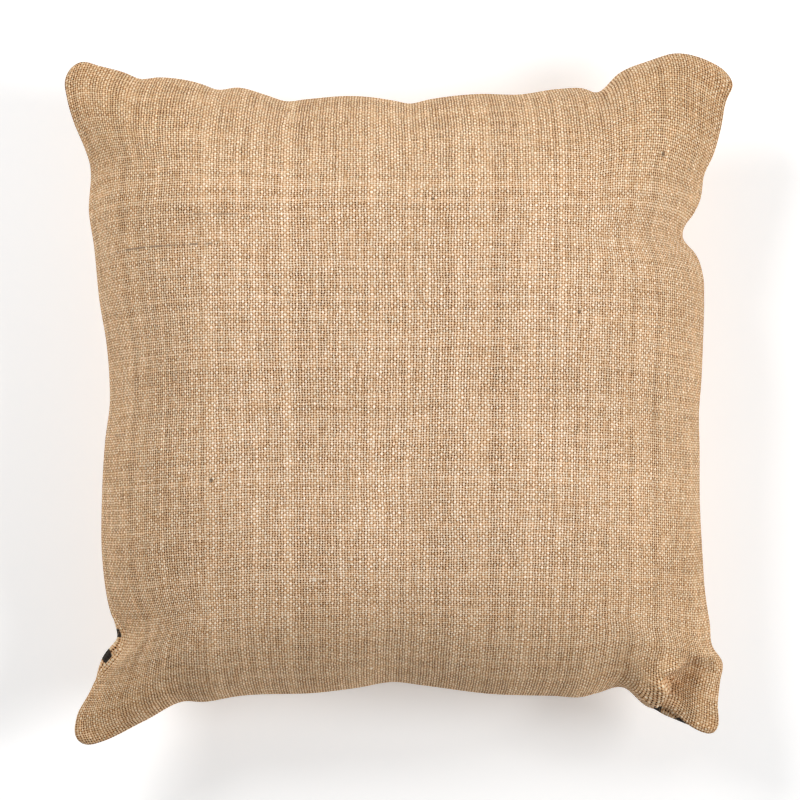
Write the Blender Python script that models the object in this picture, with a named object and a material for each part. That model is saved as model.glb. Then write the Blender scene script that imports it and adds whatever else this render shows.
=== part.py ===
"""A square burlap pillow for a ring bearer: a zipped, knife-edged cover over a fibre-filled insert.

It lies on its printed face with its plain face up. Metres, +Z up, +X to the right and +Y towards the
top edge of the plain face. The zipper lies in a mouth along the bottom (-Y) edge, behind its folded
lips. Layers are nested, outside in: burlap cover, insert cover, filling. "Level" below means height
above the seam plane, and "depth" means distance inwards (+Y) from the line of the zipper.
"""

import math

import bmesh
import bpy
import numpy as np
from mathutils import Vector

MM = 0.001

# The pillow as a whole. The seam plane is the height where the two halves of the cover meet.
SEAM_Z = 66 * MM
TOP_RISE = 72 * MM
BOTTOM_DROP = 76 * MM
HALF_SIDE = 210 * MM
CROWN_FLATNESS = 4.0
CROWN_FULLNESS = 0.85

# Where the corners of the stuffed cover lie, in mm.
CORNERS = {
    "bottom_left": (-209, -227),
    "bottom_right": (206, -220),
    "top_left": (-216, 218),
    "top_right": (219, 214),
}
# How far each edge is pulled in from the straight line between its corners: (share of the way, mm).
# Bottom and top run left to right, and left and right run bottom to top.
EDGE_PULL = {
    "bottom": [
        (0, 0), (0.10, 14), (0.17, 26.5), (0.25, 29.5), (0.38, 30.5), (0.49, 36.5), (0.54, 34.5),
        (0.65, 27.5), (0.77, 25), (0.86, 30), (0.90, 20.5), (0.93, 11), (1, 0),
    ],
    "top": [
        (0, 0), (0.04, -1.5), (0.11, 7), (0.16, 7.5), (0.22, 13.5), (0.26, 12.5), (0.33, 20.5),
        (0.44, 16.5), (0.51, 21.5), (0.62, 14.5), (0.74, 10), (0.80, 12.5), (0.83, 0), (0.88, -9),
        (0.92, -14), (0.95, -11), (1, 0),
    ],
    "left": [
        (0, 0), (0.04, -3.5), (0.12, 12), (0.16, 23), (0.20, 19), (0.28, 14.5), (0.35, 15), (0.45, 17.5),
        (0.52, 21), (0.59, 19.5), (0.69, 15), (0.78, 9.5), (0.86, 10), (0.92, 1), (0.97, -4), (1, 0),
    ],
    "right": [
        (0, 0), (0.05, -2.5), (0.11, -4), (0.13, 1), (0.21, 7.5), (0.35, 12.5), (0.49, 14.5), (0.60, 13.5),
        (0.70, 14.5), (0.73, 20.5), (0.76, 28), (0.80, 19), (0.88, 10.5), (0.96, 2), (1, 0),
    ],
}  # fmt: skip

# Cloth and thread.
BURLAP = 0.9 * MM
SEAM_GAP = 0.45 * MM
FOLD_ROOM = 0.45 * MM
ALLOWANCE = 10 * MM
SHELL = 0.5 * MM
THREAD_RADIUS = 0.15 * MM
LAYER_GAP = 1.0 * MM

# Insets of the inner layers: left, right, bottom (where the zipper needs room) and top.
INSERT_INSETS = (16 * MM, 16 * MM, 36 * MM, 16 * MM)
FILLING_INSETS = (18.5 * MM, 18.5 * MM, 38.5 * MM, 18.5 * MM)
INSERT_ALLOWANCE = 1.6 * MM

# The zipper: a size 3 coil in a straight line behind the lips of the mouth.
ZIP_Y = -182.5 * MM
ZIP_LEFT, ZIP_RIGHT = -118 * MM, 138 * MM
MOUTH_LEVEL = 3.2 * MM
MOUTH_MARGIN, MOUTH_TAPER = 11 * MM, 16 * MM
LIP_REACH = 14 * MM
TAPE_LEVEL, TAPE_THICK = 1.8 * MM, 0.5 * MM
TAPE_DEPTH, TAPE_WIDTH = 0.9 * MM, 12 * MM
COIL_LEVEL, COIL_HEIGHT = 0.6 * MM, 0.9 * MM
COIL_DEPTH, COIL_WIDTH = 0.7 * MM, 2.3 * MM
STOP_GAP = 0.6 * MM
SLIDER_X = 128 * MM
BAIL_DEPTH = -2.5 * MM
PULL_LENGTH, PULL_WIDTH, PULL_THICK = 22 * MM, 5 * MM, 1.0 * MM

CELLS = 20


def curve_through(points, at):
    """A smooth curve through the (share, value) points, read at the shares in the array at."""
    t, v = np.array(points, float).T
    slope = np.gradient(v, t)
    i = np.clip(np.searchsorted(t, at, side="right") - 1, 0, len(t) - 2)
    step = t[i + 1] - t[i]
    s = (at - t[i]) / step
    return (
        v[i] * (2 * s**3 - 3 * s**2 + 1)
        + v[i + 1] * (3 * s**2 - 2 * s**3)
        + step * (slope[i] * (s**3 - 2 * s**2 + s) + slope[i + 1] * (s**3 - s**2))
    )


def edge_points(side, start, end, share):
    """Points (x, y) of one edge of the outline, at these shares of the way from start to end."""
    a, b = (np.array(CORNERS[c], float) * MM for c in (start, end))
    along = (b - a) / np.linalg.norm(b - a)
    inward = np.array([-along[1], along[0]])
    inward *= -np.sign(inward @ (a + b))
    pull = curve_through(EDGE_PULL[side], share) * MM
    return a + share[..., None] * (b - a) + pull[..., None] * inward


def plan(a, b):
    """The (x, y) of the point at shares a and b, each from -1 to 1, of a patch that fills the outline."""
    u, v = (a[..., None] + 1) / 2, (b[..., None] + 1) / 2
    bottom = edge_points("bottom", "bottom_left", "bottom_right", u[..., 0])
    top = edge_points("top", "top_left", "top_right", u[..., 0])
    left = edge_points("left", "bottom_left", "top_left", v[..., 0])
    right = edge_points("right", "bottom_right", "top_right", v[..., 0])
    corner = {name: np.array(at, float) * MM for name, at in CORNERS.items()}
    corners = (1 - v) * ((1 - u) * corner["bottom_left"] + u * corner["bottom_right"])
    corners += v * ((1 - u) * corner["top_left"] + u * corner["top_right"])
    return (1 - v) * bottom + v * top + (1 - u) * left + u * right - corners


def smooth_step(x):
    x = np.clip(x, 0, 1)
    return x * x * (3 - 2 * x)


def mouth(x, b):
    """1 along the zipper's mouth, falling to 0 past its ends and away from the bottom edge."""
    past = np.maximum(ZIP_LEFT - x, x - ZIP_RIGHT) - MOUTH_MARGIN
    return smooth_step(1 - past / MOUTH_TAPER) * smooth_step((-b - 0.55) / 0.3)


def crown(a, b):
    """The share of the full height: flat in the middle, steep at the edges, and thin at the corners."""
    return ((1 - np.abs(a) ** CROWN_FLATNESS) * (1 - np.abs(b) ** CROWN_FLATNESS)) ** CROWN_FULLNESS


def inset_plan(a, b, insets):
    """The (x, y) of shares a and b on a patch whose edges lie this far inside the outline."""

    def moved(share, low, high):
        return share + np.where(share < 0, low, -high) * np.abs(share) ** 5 / HALF_SIDE

    left, right, bottom, top = insets
    return plan(moved(a, left, right), moved(b, bottom, top))


def layer(a, b, half, insets, level, shrink, opens=False, reach=None):
    """Points of one sheet of one half of the pillow: half is 1 for the upper and -1 for the lower.

    level lifts the sheet's rim off the seam plane, and shrink lowers its crown below the outside of
    the cover. A sheet that opens makes room for the zipper, and one with a reach has its bottom edge
    this deep behind the zipper.
    """
    xy = inset_plan(a, b, insets)
    x, y = xy[..., 0], xy[..., 1]
    open_here = mouth(x, b) * opens
    if reach is not None:
        y = y + open_here * (ZIP_Y + reach - y)
    height = (TOP_RISE if half > 0 else BOTTOM_DROP) - shrink
    z = SEAM_Z + half * (level + (MOUTH_LEVEL - SEAM_GAP) * open_here + height * crown(a, b))
    return np.dstack([x, y, z if half > 0 else np.maximum(z, shrink)])


def grid_lines():
    """Shares of the grid lines across and up, close together near the edges.

    Lines across are added where the mouth starts and ends.
    """
    up = np.sin(np.linspace(-1, 1, CELLS + 1) * math.pi / 2)
    wide = MOUTH_MARGIN + MOUTH_TAPER
    ends = [ZIP_LEFT - wide, ZIP_LEFT - MOUTH_MARGIN, ZIP_RIGHT + MOUTH_MARGIN, ZIP_RIGHT + wide]
    left, right = (CORNERS[c][0] * MM for c in ("bottom_left", "bottom_right"))
    marks = [2 * (x - left) / (right - left) - 1 for x in ends]
    across = [a for a in up if min(abs(a - m) for m in marks) > 0.03]
    return np.meshgrid(np.sort(across + marks), up, indexing="ij")


def rim_loop(shape):
    """The grid indices round the edge of a grid, anticlockwise from its bottom left corner."""
    m, n = shape[0] - 1, shape[1] - 1
    bottom = [(i, 0) for i in range(m)]
    right = [(m, j) for j in range(n)]
    top = [(i, n) for i in range(m, 0, -1)]
    left = [(0, j) for j in range(n, 0, -1)]
    return bottom + right + top + left


def material(name, colour, roughness, metallic=0.0):
    made = bpy.data.materials.new(name)
    made.use_nodes = True
    shader = made.node_tree.nodes["Principled BSDF"]
    shader.inputs["Base Color"].default_value = (*colour, 1)
    shader.inputs["Roughness"].default_value = roughness
    shader.inputs["Metallic"].default_value = metallic
    return made


def add_object(name, data, look, location=(0, 0, 0)):
    made = bpy.data.objects.new(name, data)
    made.location = location
    made.data.materials.append(look)
    bpy.context.collection.objects.link(made)
    return made


def finish_mesh(name, bm, look, location=(0, 0, 0), sharp_degrees=35):
    """Makes an object of a bmesh, with its faces pointing out and its round parts shaded smooth."""
    bmesh.ops.recalc_face_normals(bm, faces=bm.faces)
    mesh = bpy.data.meshes.new(name)
    bm.to_mesh(mesh)
    bm.free()
    mesh.shade_smooth()
    mesh.set_sharp_from_angle(angle=math.radians(sharp_degrees))
    return add_object(name, mesh, look, location)


def add_grid(bm, points):
    """Adds a grid of points with its faces and returns its vertices, in rows along the first axis."""
    rows = [[bm.verts.new(p) for p in row] for row in points]
    for i in range(len(rows) - 1):
        for j in range(len(rows[0]) - 1):
            bm.faces.new((rows[i][j], rows[i + 1][j], rows[i + 1][j + 1], rows[i][j + 1]))
    return rows


def join_loops(bm, loops):
    """Joins closed loops of as many vertices each with strips of faces."""
    for one, two in zip(loops, loops[1:]):
        for k in range(len(one)):
            after = (k + 1) % len(one)
            bm.faces.new((one[k], one[after], two[after], two[k]))


def cloth_half(name, half, look, insets, shrink, thick, allowance, opens):
    """One half of a sewn cover: a crowned sheet whose rim is folded in as a flat seam allowance."""
    a, b = grid_lines()
    loop = rim_loop(a.shape)

    def sheet(extra_inset, level, extra_shrink=0.0, reach=None):
        grown = [i + extra_inset for i in insets]
        return layer(a, b, half, grown, level, shrink + extra_shrink, opens, reach)

    bm = bmesh.new()

    def ring(*args, **options):
        points = sheet(*args, **options)
        return [bm.verts.new(points[i, j]) for i, j in loop]

    outer = add_grid(bm, sheet(0, SEAM_GAP + 2 * thick + FOLD_ROOM))
    inner = add_grid(bm, sheet(1.3 * thick, SEAM_GAP + thick + FOLD_ROOM, thick))
    join_loops(
        bm,
        [
            [outer[i][j] for i, j in loop],
            ring(0.4 * thick, SEAM_GAP),
            ring(allowance, SEAM_GAP, reach=LIP_REACH),
            ring(allowance, SEAM_GAP + thick, reach=LIP_REACH),
            ring(1.3 * thick, SEAM_GAP + thick),
            [inner[i][j] for i, j in loop],
        ],
    )
    return finish_mesh(name, bm, look)


def stuffing(name, look):
    """The filling: one crowned body, flattened underneath, inside the insert's cover."""
    shrink = BURLAP + SHELL + 2 * LAYER_GAP
    a, b = grid_lines()
    loop = rim_loop(a.shape)
    bm = bmesh.new()
    halves = [add_grid(bm, layer(a, b, half, FILLING_INSETS, 1.0 * MM, shrink)) for half in (1, -1)]
    join_loops(bm, [[rows[i][j] for i, j in loop] for rows in halves])
    return finish_mesh(name, bm, look)


def label(name, look, a_range, b_range):
    """A blank woven label that lies in the space between the insert and the side of the cover."""
    a, b = np.meshgrid(np.linspace(*a_range, 5), np.linspace(*b_range, 6), indexing="ij")
    loop = rim_loop(a.shape)
    bm = bmesh.new()
    sides = [
        add_grid(bm, layer(a, b, 1, [inset * MM] * 4, 2 * MM, BURLAP + inset * MM - 6 * MM))
        for inset in (6.0, 6.4)
    ]
    join_loops(bm, [[rows[i][j] for i, j in loop] for rows in sides])
    return finish_mesh(name, bm, look)


def thread(name, look, points):
    curve = bpy.data.curves.new(name, "CURVE")
    curve.dimensions = "3D"
    curve.bevel_depth = THREAD_RADIUS
    curve.bevel_resolution = 0
    curve.use_fill_caps = True
    spline = curve.splines.new("POLY")
    spline.points.add(len(points) - 1)
    for knot, point in zip(spline.points, points):
        knot.co = (*point, 1)
    return add_object(name, curve, look)


def sewn_path(inset, level=0.0):
    """Points along the sewn edges, this far inside them, from the mouth's right end to its left end."""
    a, b = grid_lines()
    loop = rim_loop(a.shape)
    points = layer(a, b, 1, [inset] * 4, level, 0)
    bottom = [k for k, (_, j) in enumerate(loop) if j == 0]
    wide = MOUTH_MARGIN + MOUTH_TAPER - 1 * MM
    first = min(k for k in bottom if points[loop[k]][0] > ZIP_RIGHT + wide)
    last = max(k for k in bottom if points[loop[k]][0] < ZIP_LEFT - wide)
    return [Vector(points[ij]) for ij in loop[first:] + loop[: last + 1]]


def edging(name, look):
    """The overlocked thread that binds both raw edges of the allowance, as one narrow band."""
    outer, inner = ALLOWANCE + 0.4 * MM, ALLOWANCE + 1.2 * MM
    top = SEAM_GAP + BURLAP
    tracks = [sewn_path(*at)[1:-1] for at in ((inner, -top), (outer, -top), (outer, top), (inner, top))]
    bm = bmesh.new()
    rings = [[bm.verts.new(p) for p in corners] for corners in zip(*tracks)]
    join_loops(bm, rings)
    bm.faces.new(rings[0])
    bm.faces.new(rings[-1])
    return finish_mesh(name, bm, look)


def block(name, look, x, depth, level, bevel=0.0):
    """A box between these pairs of x, depth behind the mouth and level above the seam plane."""
    size = [x[1] - x[0], depth[1] - depth[0], level[1] - level[0]]
    centre = (sum(x) / 2, ZIP_Y + sum(depth) / 2, SEAM_Z + sum(level) / 2)
    bm = bmesh.new()
    bmesh.ops.create_cube(bm, size=1)
    bmesh.ops.scale(bm, vec=size, verts=bm.verts)
    made = finish_mesh(name, bm, look, centre)
    if bevel:
        soften(made, bevel)
    return made


def soften(obj, width, segments=2):
    bevel = obj.modifiers.new("rounding", "BEVEL")
    bevel.width = width
    bevel.segments = segments
    bevel.limit_method = "ANGLE"


def prism(bm, outline, depth):
    """Extrudes an outline of (x, level) points between two depths, all in mm, as a closed body in bm."""
    near, far = ([bm.verts.new((x * MM, d * MM, z * MM)) for x, z in outline] for d in depth)
    bm.faces.new(near)
    bm.faces.new(far)
    join_loops(bm, [near, far])


def rectangle(x0, x1, half_height):
    return [(x0, -half_height), (x1, -half_height), (x1, half_height), (x0, half_height)]


def helper(name, bm):
    """A mesh object that a Boolean uses and that is no piece of the pillow."""
    bmesh.ops.recalc_face_normals(bm, faces=bm.faces)
    mesh = bpy.data.meshes.new(name)
    bm.to_mesh(mesh)
    bm.free()
    made = bpy.data.objects.new(name, mesh)
    made.hide_render = True
    made.display_type = "WIRE"
    bpy.context.collection.objects.link(made)
    return made


def add_boolean(obj, other, operation):
    other.parent = obj
    cut = obj.modifiers.new(operation.lower(), "BOOLEAN")
    cut.operation = operation
    cut.object = other


def zipper_slider(look):
    """The slider: a front plate outside the coils, a web between them, a back plate and a bail."""
    shield = [(-4.5, -2.2), (2.0, -2.8), (4.5, -2.0), (4.5, 2.0), (2.0, 2.8), (-4.5, 2.2)]
    bm = bmesh.new()
    prism(bm, shield, (-1.45, -0.45))
    slider = finish_mesh("zipper_slider", bm, look, (SLIDER_X, ZIP_Y, SEAM_Z))

    web = bmesh.new()
    prism(web, rectangle(-0.5, 4.0, 0.28), (-1.0, 4.0))
    add_boolean(slider, helper("slider_web", web), "UNION")

    back = bmesh.new()
    prism(back, rectangle(-4.0, 4.2, 1.4), (3.5, 4.4))
    add_boolean(slider, helper("slider_back_plate", back), "UNION")

    # The bail is an arch over the front plate, drawn side on and extruded across it.
    outside = [(-2.9, -1.2), (-2.9, -3.5), (-2.2, -4.3), (2.2, -4.3), (2.9, -3.5), (2.9, -1.2)]
    inside = [(2.1, -1.2), (2.1, -3.2), (1.8, -3.55), (-1.8, -3.55), (-2.1, -3.2), (-2.1, -1.2)]
    bail = bmesh.new()
    halves = [[bail.verts.new((x * MM, d * MM, z * MM)) for x, d in outside + inside] for z in (-0.8, 0.8)]
    for verts in halves:
        bail.faces.new(verts)
    join_loops(bail, halves)
    add_boolean(slider, helper("slider_bail", bail), "UNION")


def zipper_pull(look):
    """The pull tab, lying back along the closed coils, with its window round the slider's bail."""
    length, half = PULL_LENGTH / MM, PULL_WIDTH / 2 / MM
    thick = PULL_THICK / 2 / MM
    turns = [math.radians(d) for d in range(90, 271, 20)]
    round_end = [(-length + half + half * math.cos(t), half * math.sin(t)) for t in turns]
    bm = bmesh.new()
    prism(bm, [(thick, -half), (thick, half), *round_end], (-thick, thick))
    tab = finish_mesh("zipper_pull", bm, look, (SLIDER_X, ZIP_Y + BAIL_DEPTH, SEAM_Z))

    window = bmesh.new()
    prism(window, rectangle(-3.7, -thick, 1.3), (-2 * thick, 2 * thick))
    add_boolean(tab, helper("pull_window", window), "DIFFERENCE")

    ring = [math.radians(d) for d in range(0, 360, 30)]
    eye = bmesh.new()
    circle = [(-length + 3.2 + 1.1 * math.cos(t), 1.1 * math.sin(t)) for t in ring]
    prism(eye, circle, (-2 * thick, 2 * thick))
    add_boolean(tab, helper("pull_eye", eye), "DIFFERENCE")


def mirrored(level, half):
    """A pair of levels, turned over for the lower half."""
    return level if half > 0 else (-level[1], -level[0])


def build_zipper(looks):
    """The zipper's two tapes with their coils and stitching, its stops, its slider and its pull."""
    tape_x = (ZIP_LEFT - 6 * MM, ZIP_RIGHT + 6 * MM)
    tape_depth = (TAPE_DEPTH, TAPE_DEPTH + TAPE_WIDTH)
    tape_top = TAPE_LEVEL + TAPE_THICK
    coil_x = (ZIP_LEFT, ZIP_RIGHT - 4 * MM)
    coil_top = COIL_LEVEL + COIL_HEIGHT
    coil_depth = (COIL_DEPTH, COIL_DEPTH + COIL_WIDTH)
    stop_x = (coil_x[1] + STOP_GAP, coil_x[1] + STOP_GAP + 2 * MM)
    for side, half in (("upper", 1), ("lower", -1)):
        coil_level = mirrored((COIL_LEVEL, coil_top), half)
        block(f"zipper_tape_{side}", looks["tape"], tape_x, tape_depth, mirrored((TAPE_LEVEL, tape_top), half))
        block(f"zipper_coil_{side}", looks["coil"], coil_x, coil_depth, coil_level, 0.3 * MM)
        block(f"top_stop_{side}", looks["metal"], stop_x, coil_depth, coil_level, 0.2 * MM)
        stitch_z = SEAM_Z + half * (tape_top + MOUTH_LEVEL) / 2
        stitch = [(x, ZIP_Y + 5 * MM, stitch_z) for x in np.linspace(*tape_x, 8)]
        thread(f"tape_stitch_{side}", looks["thread"], stitch)
    bottom_stop_x = (ZIP_LEFT - STOP_GAP - 3 * MM, ZIP_LEFT - STOP_GAP)
    block("bottom_stop", looks["metal"], bottom_stop_x, coil_depth, (-coil_top, coil_top), 0.3 * MM)
    tack_top = MOUTH_LEVEL - 0.5 * MM
    for side, x in (("left", ZIP_LEFT - 8 * MM), ("right", ZIP_RIGHT + 8 * MM)):
        tack_x = (x - 1.2 * MM, x + 1.2 * MM)
        block(f"bar_tack_{side}", looks["thread"], tack_x, (0.3 * MM, 4 * MM), (-tack_top, tack_top), 0.4 * MM)
    zipper_slider(looks["metal"])
    zipper_pull(looks["metal"])


def build_cover(looks):
    """The burlap cover: two panels with their seam stitching, bound edges and a blank care label."""
    for name, half, look in (("plain_panel", 1, "burlap"), ("printed_panel", -1, "printed")):
        cloth_half(name, half, looks[look], (0, 0, 0, 0), 0, BURLAP, ALLOWANCE, True)
    thread("seam_thread", looks["thread"], sewn_path(2 * MM))
    edging("overlock_edging", looks["thread"])
    label("care_label", looks["label"], (0.90, 0.99), (-0.66, -0.52))


def build_insert(looks):
    """The insert: a thin two-piece cover sewn round the filling, with its blank label."""
    shrink = BURLAP + LAYER_GAP
    for name, half in (("insert_upper_shell", 1), ("insert_lower_shell", -1)):
        cloth_half(name, half, looks["insert"], INSERT_INSETS, shrink, SHELL, INSERT_ALLOWANCE, False)
    stuffing("fibre_filling", looks["filling"])
    label("insert_label", looks["label"], (-0.99, -0.88), (0.30, 0.48))


def move_to_origin():
    """Centres the whole pillow over the origin. Its flattened underside is at z = 0 already."""
    bpy.context.view_layer.update()
    graph = bpy.context.evaluated_depsgraph_get()
    pieces = [o for o in bpy.context.scene.objects if o.type in ("MESH", "CURVE") and not o.hide_render]
    corners = [
        o.matrix_world @ Vector(c) for o in pieces for c in o.evaluated_get(graph).bound_box
    ]
    for axis in (0, 1):
        values = [c[axis] for c in corners]
        for o in pieces:
            o.location[axis] -= (min(values) + max(values)) / 2


def main():
    for old in list(bpy.data.objects):
        bpy.data.objects.remove(old)
    looks = {
        "burlap": material("burlap", (0.62, 0.43, 0.28), 0.9),
        "printed": material("printed_burlap", (0.56, 0.39, 0.25), 0.9),
        "thread": material("thread", (0.66, 0.52, 0.35), 0.7),
        "tape": material("zipper_tape", (0.62, 0.52, 0.38), 0.8),
        "coil": material("zipper_coil", (0.70, 0.60, 0.46), 0.4),
        "metal": material("antique_brass", (0.42, 0.31, 0.15), 0.35, 1.0),
        "insert": material("insert_cloth", (0.86, 0.85, 0.82), 0.8),
        "filling": material("polyester_fibre", (0.93, 0.93, 0.93), 0.95),
        "label": material("label_satin", (0.90, 0.89, 0.86), 0.5),
    }
    build_cover(looks)
    build_zipper(looks)
    build_insert(looks)
    move_to_origin()


main()
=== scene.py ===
"""The looks of the burlap ring bearer pillow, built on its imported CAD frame.

Lengths are metres unless a name or comment says mm. "Plan" coordinates have their origin at the middle
of the pillow's design, and SHIFT moves them into the frame. A "share" of an edge or of the flat cloth
runs from 0 to 1, or from -1 to 1 where it is called s or t.
"""

import math

import bmesh
import bpy
import numpy as np
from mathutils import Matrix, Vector


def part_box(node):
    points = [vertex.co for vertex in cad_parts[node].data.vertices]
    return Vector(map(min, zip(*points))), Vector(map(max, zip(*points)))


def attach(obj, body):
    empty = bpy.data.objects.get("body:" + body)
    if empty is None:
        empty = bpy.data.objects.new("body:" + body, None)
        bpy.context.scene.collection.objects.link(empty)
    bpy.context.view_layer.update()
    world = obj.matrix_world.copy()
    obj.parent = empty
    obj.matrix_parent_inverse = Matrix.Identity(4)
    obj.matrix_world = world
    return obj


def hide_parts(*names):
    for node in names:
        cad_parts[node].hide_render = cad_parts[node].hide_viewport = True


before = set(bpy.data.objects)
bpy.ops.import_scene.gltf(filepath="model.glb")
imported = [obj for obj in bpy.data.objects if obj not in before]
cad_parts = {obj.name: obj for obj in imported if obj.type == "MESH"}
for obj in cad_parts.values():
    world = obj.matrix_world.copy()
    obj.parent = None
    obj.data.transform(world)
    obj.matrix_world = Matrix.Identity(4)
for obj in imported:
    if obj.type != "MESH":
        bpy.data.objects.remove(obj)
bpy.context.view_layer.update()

MM = 0.001

# ---- Sizes ----

FLAT_SIDE = 457 * MM  # the cover laid flat, seam to seam
FILL = 0.85  # how firmly the padded pieces are stuffed
SEAM_Z = 66 * MM  # the seam's height over the floor
TOP_RISE, BOTTOM_DROP = 72.5 * MM, 76 * MM  # from the seam to the top and the bottom, before the simulation
CELLS = 116  # of the simulated cloth, along each side
SIM_FRAMES, SIM_FLOOR = 30, 0.5 * MM  # the simulation's length, and its floor's clearance
LINES = 241  # of the finished cloth's grid, along each side
EDGE_CROWDING = 0.45  # how much closer together those lines are at the edges than evenly spaced ones
CROWN_POWER, CROWN_ROUNDING = 4, 0.85  # the crown before the simulation is (1 - a^power)^rounding
HALF_PLAN = 0.205  # about half of the stuffed cover's width

# The stuffed cover's outline: corners in mm, and each side's pull inwards from the straight line
# between its corners, as (share of the way, mm). Bottom and top run left to right, the others upwards.
CORNERS = {
    "bottom_left": (-209.5, -229.5),
    "bottom_right": (208, -222.5),
    "top_left": (-217.5, 220),
    "top_right": (218.5, 214),
}
EDGE_PULL = {
    "bottom": [
        (0, 0), (0.03, 3), (0.1, 16.5), (0.165, 29), (0.19, 28.5), (0.25, 32), (0.38, 33.5), (0.435, 36),
        (0.495, 39.5), (0.54, 37), (0.65, 30.5), (0.75, 28.5), (0.79, 27.5), (0.815, 30), (0.858, 33),
        (0.895, 18.8), (0.908, 17.6), (0.927, 14), (0.965, 5), (1, 0),
    ],
    "top": [
        (0, 0), (0.02, -2.5), (0.045, 0), (0.085, 4.5), (0.105, 8), (0.135, 7), (0.2, 11), (0.223, 14.5),
        (0.255, 13), (0.3, 18), (0.327, 21.5), (0.36, 20), (0.43, 17.5), (0.495, 20.5), (0.513, 22),
        (0.545, 19), (0.62, 15), (0.68, 15), (0.74, 11), (0.778, 10.5), (0.798, 13), (0.83, 0.5),
        (0.877, -8.5), (0.916, -13.5), (0.953, -11), (0.983, -5), (1, 0),
    ],
    "left": [
        (0, 0), (0.01, -3), (0.045, -3), (0.08, 5.5), (0.123, 13.5), (0.158, 25), (0.193, 20.5),
        (0.23, 17.5), (0.28, 15.5), (0.36, 16), (0.45, 19), (0.507, 22.5), (0.533, 22.5), (0.59, 21),
        (0.65, 17), (0.74, 13.5), (0.78, 11), (0.86, 11.5), (0.88, 8.5), (0.916, 2), (0.955, -2.5),
        (0.975, -3.5), (1, 0),
    ],
    "right": [
        (0, 0), (0.015, -2), (0.05, -1.5), (0.08, -2.5), (0.117, -3), (0.132, 2), (0.17, 5), (0.215, 8.5),
        (0.275, 11), (0.35, 13.5), (0.43, 14.5), (0.49, 15.5), (0.535, 14.5), (0.6, 14), (0.66, 14),
        (0.695, 15), (0.73, 21), (0.749, 28.5), (0.769, 28), (0.787, 22.5), (0.807, 18.5), (0.85, 15.5),
        (0.876, 10.5), (0.92, 5.5), (0.96, 2.5), (0.985, -1.5), (1, 0),
    ],
}  # fmt: skip

# Each side's pull in mm without its puckers, and how far in the puckers reach, as a share of the way
# across.
EVEN_PULL = {"bottom": 30, "top": 14, "left": 15, "right": 13}
PUCKER_REACH = 0.13

CORNER_ZONE, CORNER_PINCH = 0.035, 0.008  # how far from the corners the rounding starts, and its depth

# Where the printed face rolls out beyond the seam: (side, middle and reach of the roll as shares of the
# side, rise of the seam, its inset and the bulge of the printed face, in mm).
SEAM_ROLLS = [
    ("left", 0.132, 0.028, 8.0, 4.4, 5.6),
    ("left", 0.172, 0.022, 4.0, 1.6, 2.6),
    ("bottom", 0.925, 0.034, 5.0, 4.4, 5.8),
]
ROLL_RISE, ROLL_INSET, ROLL_BULGE = 3, 4, 5
ROLL_DEPTH = 0.12  # how far a roll is felt inwards
PLAIN_BULGE = -0.5  # the plain face moves in by this share of the printed face's bulge

# Folds of the plain face across the bottom right corner: (start and end in plan mm, height over the seam
# of the cloth beyond the fold, how far the lip bulges up and leans over it, and how much wider the drop
# is at the end than at the start, in mm). Beyond the fold the cloth rises at FLAP_SLOPE, from
# FLAP_FOOT mm off the line on. The drop is DROP_WIDTH mm wide at the start, and LIP_SHARE of it lies on
# the lip's side of the line.
CREASES = [((163.5, -199.5), (188, -169.5), 1.2, 9, 9, 6), ((185, -177), (207, -167), 3, 0, 0, 12)]
FLAP_SLOPE, FLAP_FOOT = 0.36, 3
DROP_WIDTH, LIP_SHARE = 4, 0.3

# The cloth over the seam allowance keeps this height over the seam, out to ALLOWANCE_EDGE mm from it.
# FREE_WIDTH mm further in, it may lie FREE_DROP lower.
ALLOWANCE_ROOM, ALLOWANCE_EDGE = 3.6 * MM, 12
FREE_WIDTH, FREE_DROP = 9, 30 * MM
SEAM_FADE = {1: 0.018, -1: 0.010}  # how far from the seam the folds of the upper and lower half set in

# Where the insert's seam sags under the fold: its middle in plan mm, how far it reaches, and the sag.
SAG_MIDDLE, SAG_REACH, SAG = (194, -178), 20, 8 * MM
# Where the weave is evened out round the folds: from this share across, up to this share up the grid,
# within this reach of the same middle and with this fade (mm), and in how many rounds.
EVEN_ACROSS, EVEN_UP, EVEN_REACH, EVEN_FADE, EVEN_ROUNDS = 0.5, 0.5, 75, 20, 1500

CRUMPLE_ROUNDS, FOLD_ROUNDS = 6, 2  # how often the cloth is evened out after the simulation and the folds
PRESSED, FLOOR_GAP = 4.5 * MM, 0.1 * MM  # how far the floor presses the printed face in, and its clearance

BURLAP = 0.9 * MM  # the cloth's thickness
SEAM_GAP = 0.45 * MM  # between the seam's level and each allowance
ALLOWANCE = 10 * MM
FOLD_LEVEL = 1.6 * MM  # between the seam's level and the cloth's outside at its edge

# The insert and its filling, as in the CAD: insets of their rims in mm (left, right, bottom, top), and
# how deep they lie under the outside of the cover.
INSERT_INSETS, INSERT_DEPTH, SHELL = (16, 16, 36, 16), 2.8 * MM, 0.5 * MM
FILLING_INSETS, FILLING_DEPTH = (18.5, 18.5, 38.5, 18.5), 4.4 * MM
INSERT_RIM, FILLING_RIM = 0.6 * MM, 1.0 * MM  # how far their rims keep from the insert's seam
PUCKER, PUCKERS = 0.35 * MM, 70  # the depth of the puckers at the insert's seam, and how close they are
LUMP = 1.6 * MM  # how deep the filling's hollows are
CLOSING = 0.72  # from this share of the way out the insert closes in towards its rim
HALF_SIDE = 210 * MM  # of the patch that the insets are measured on

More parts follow.
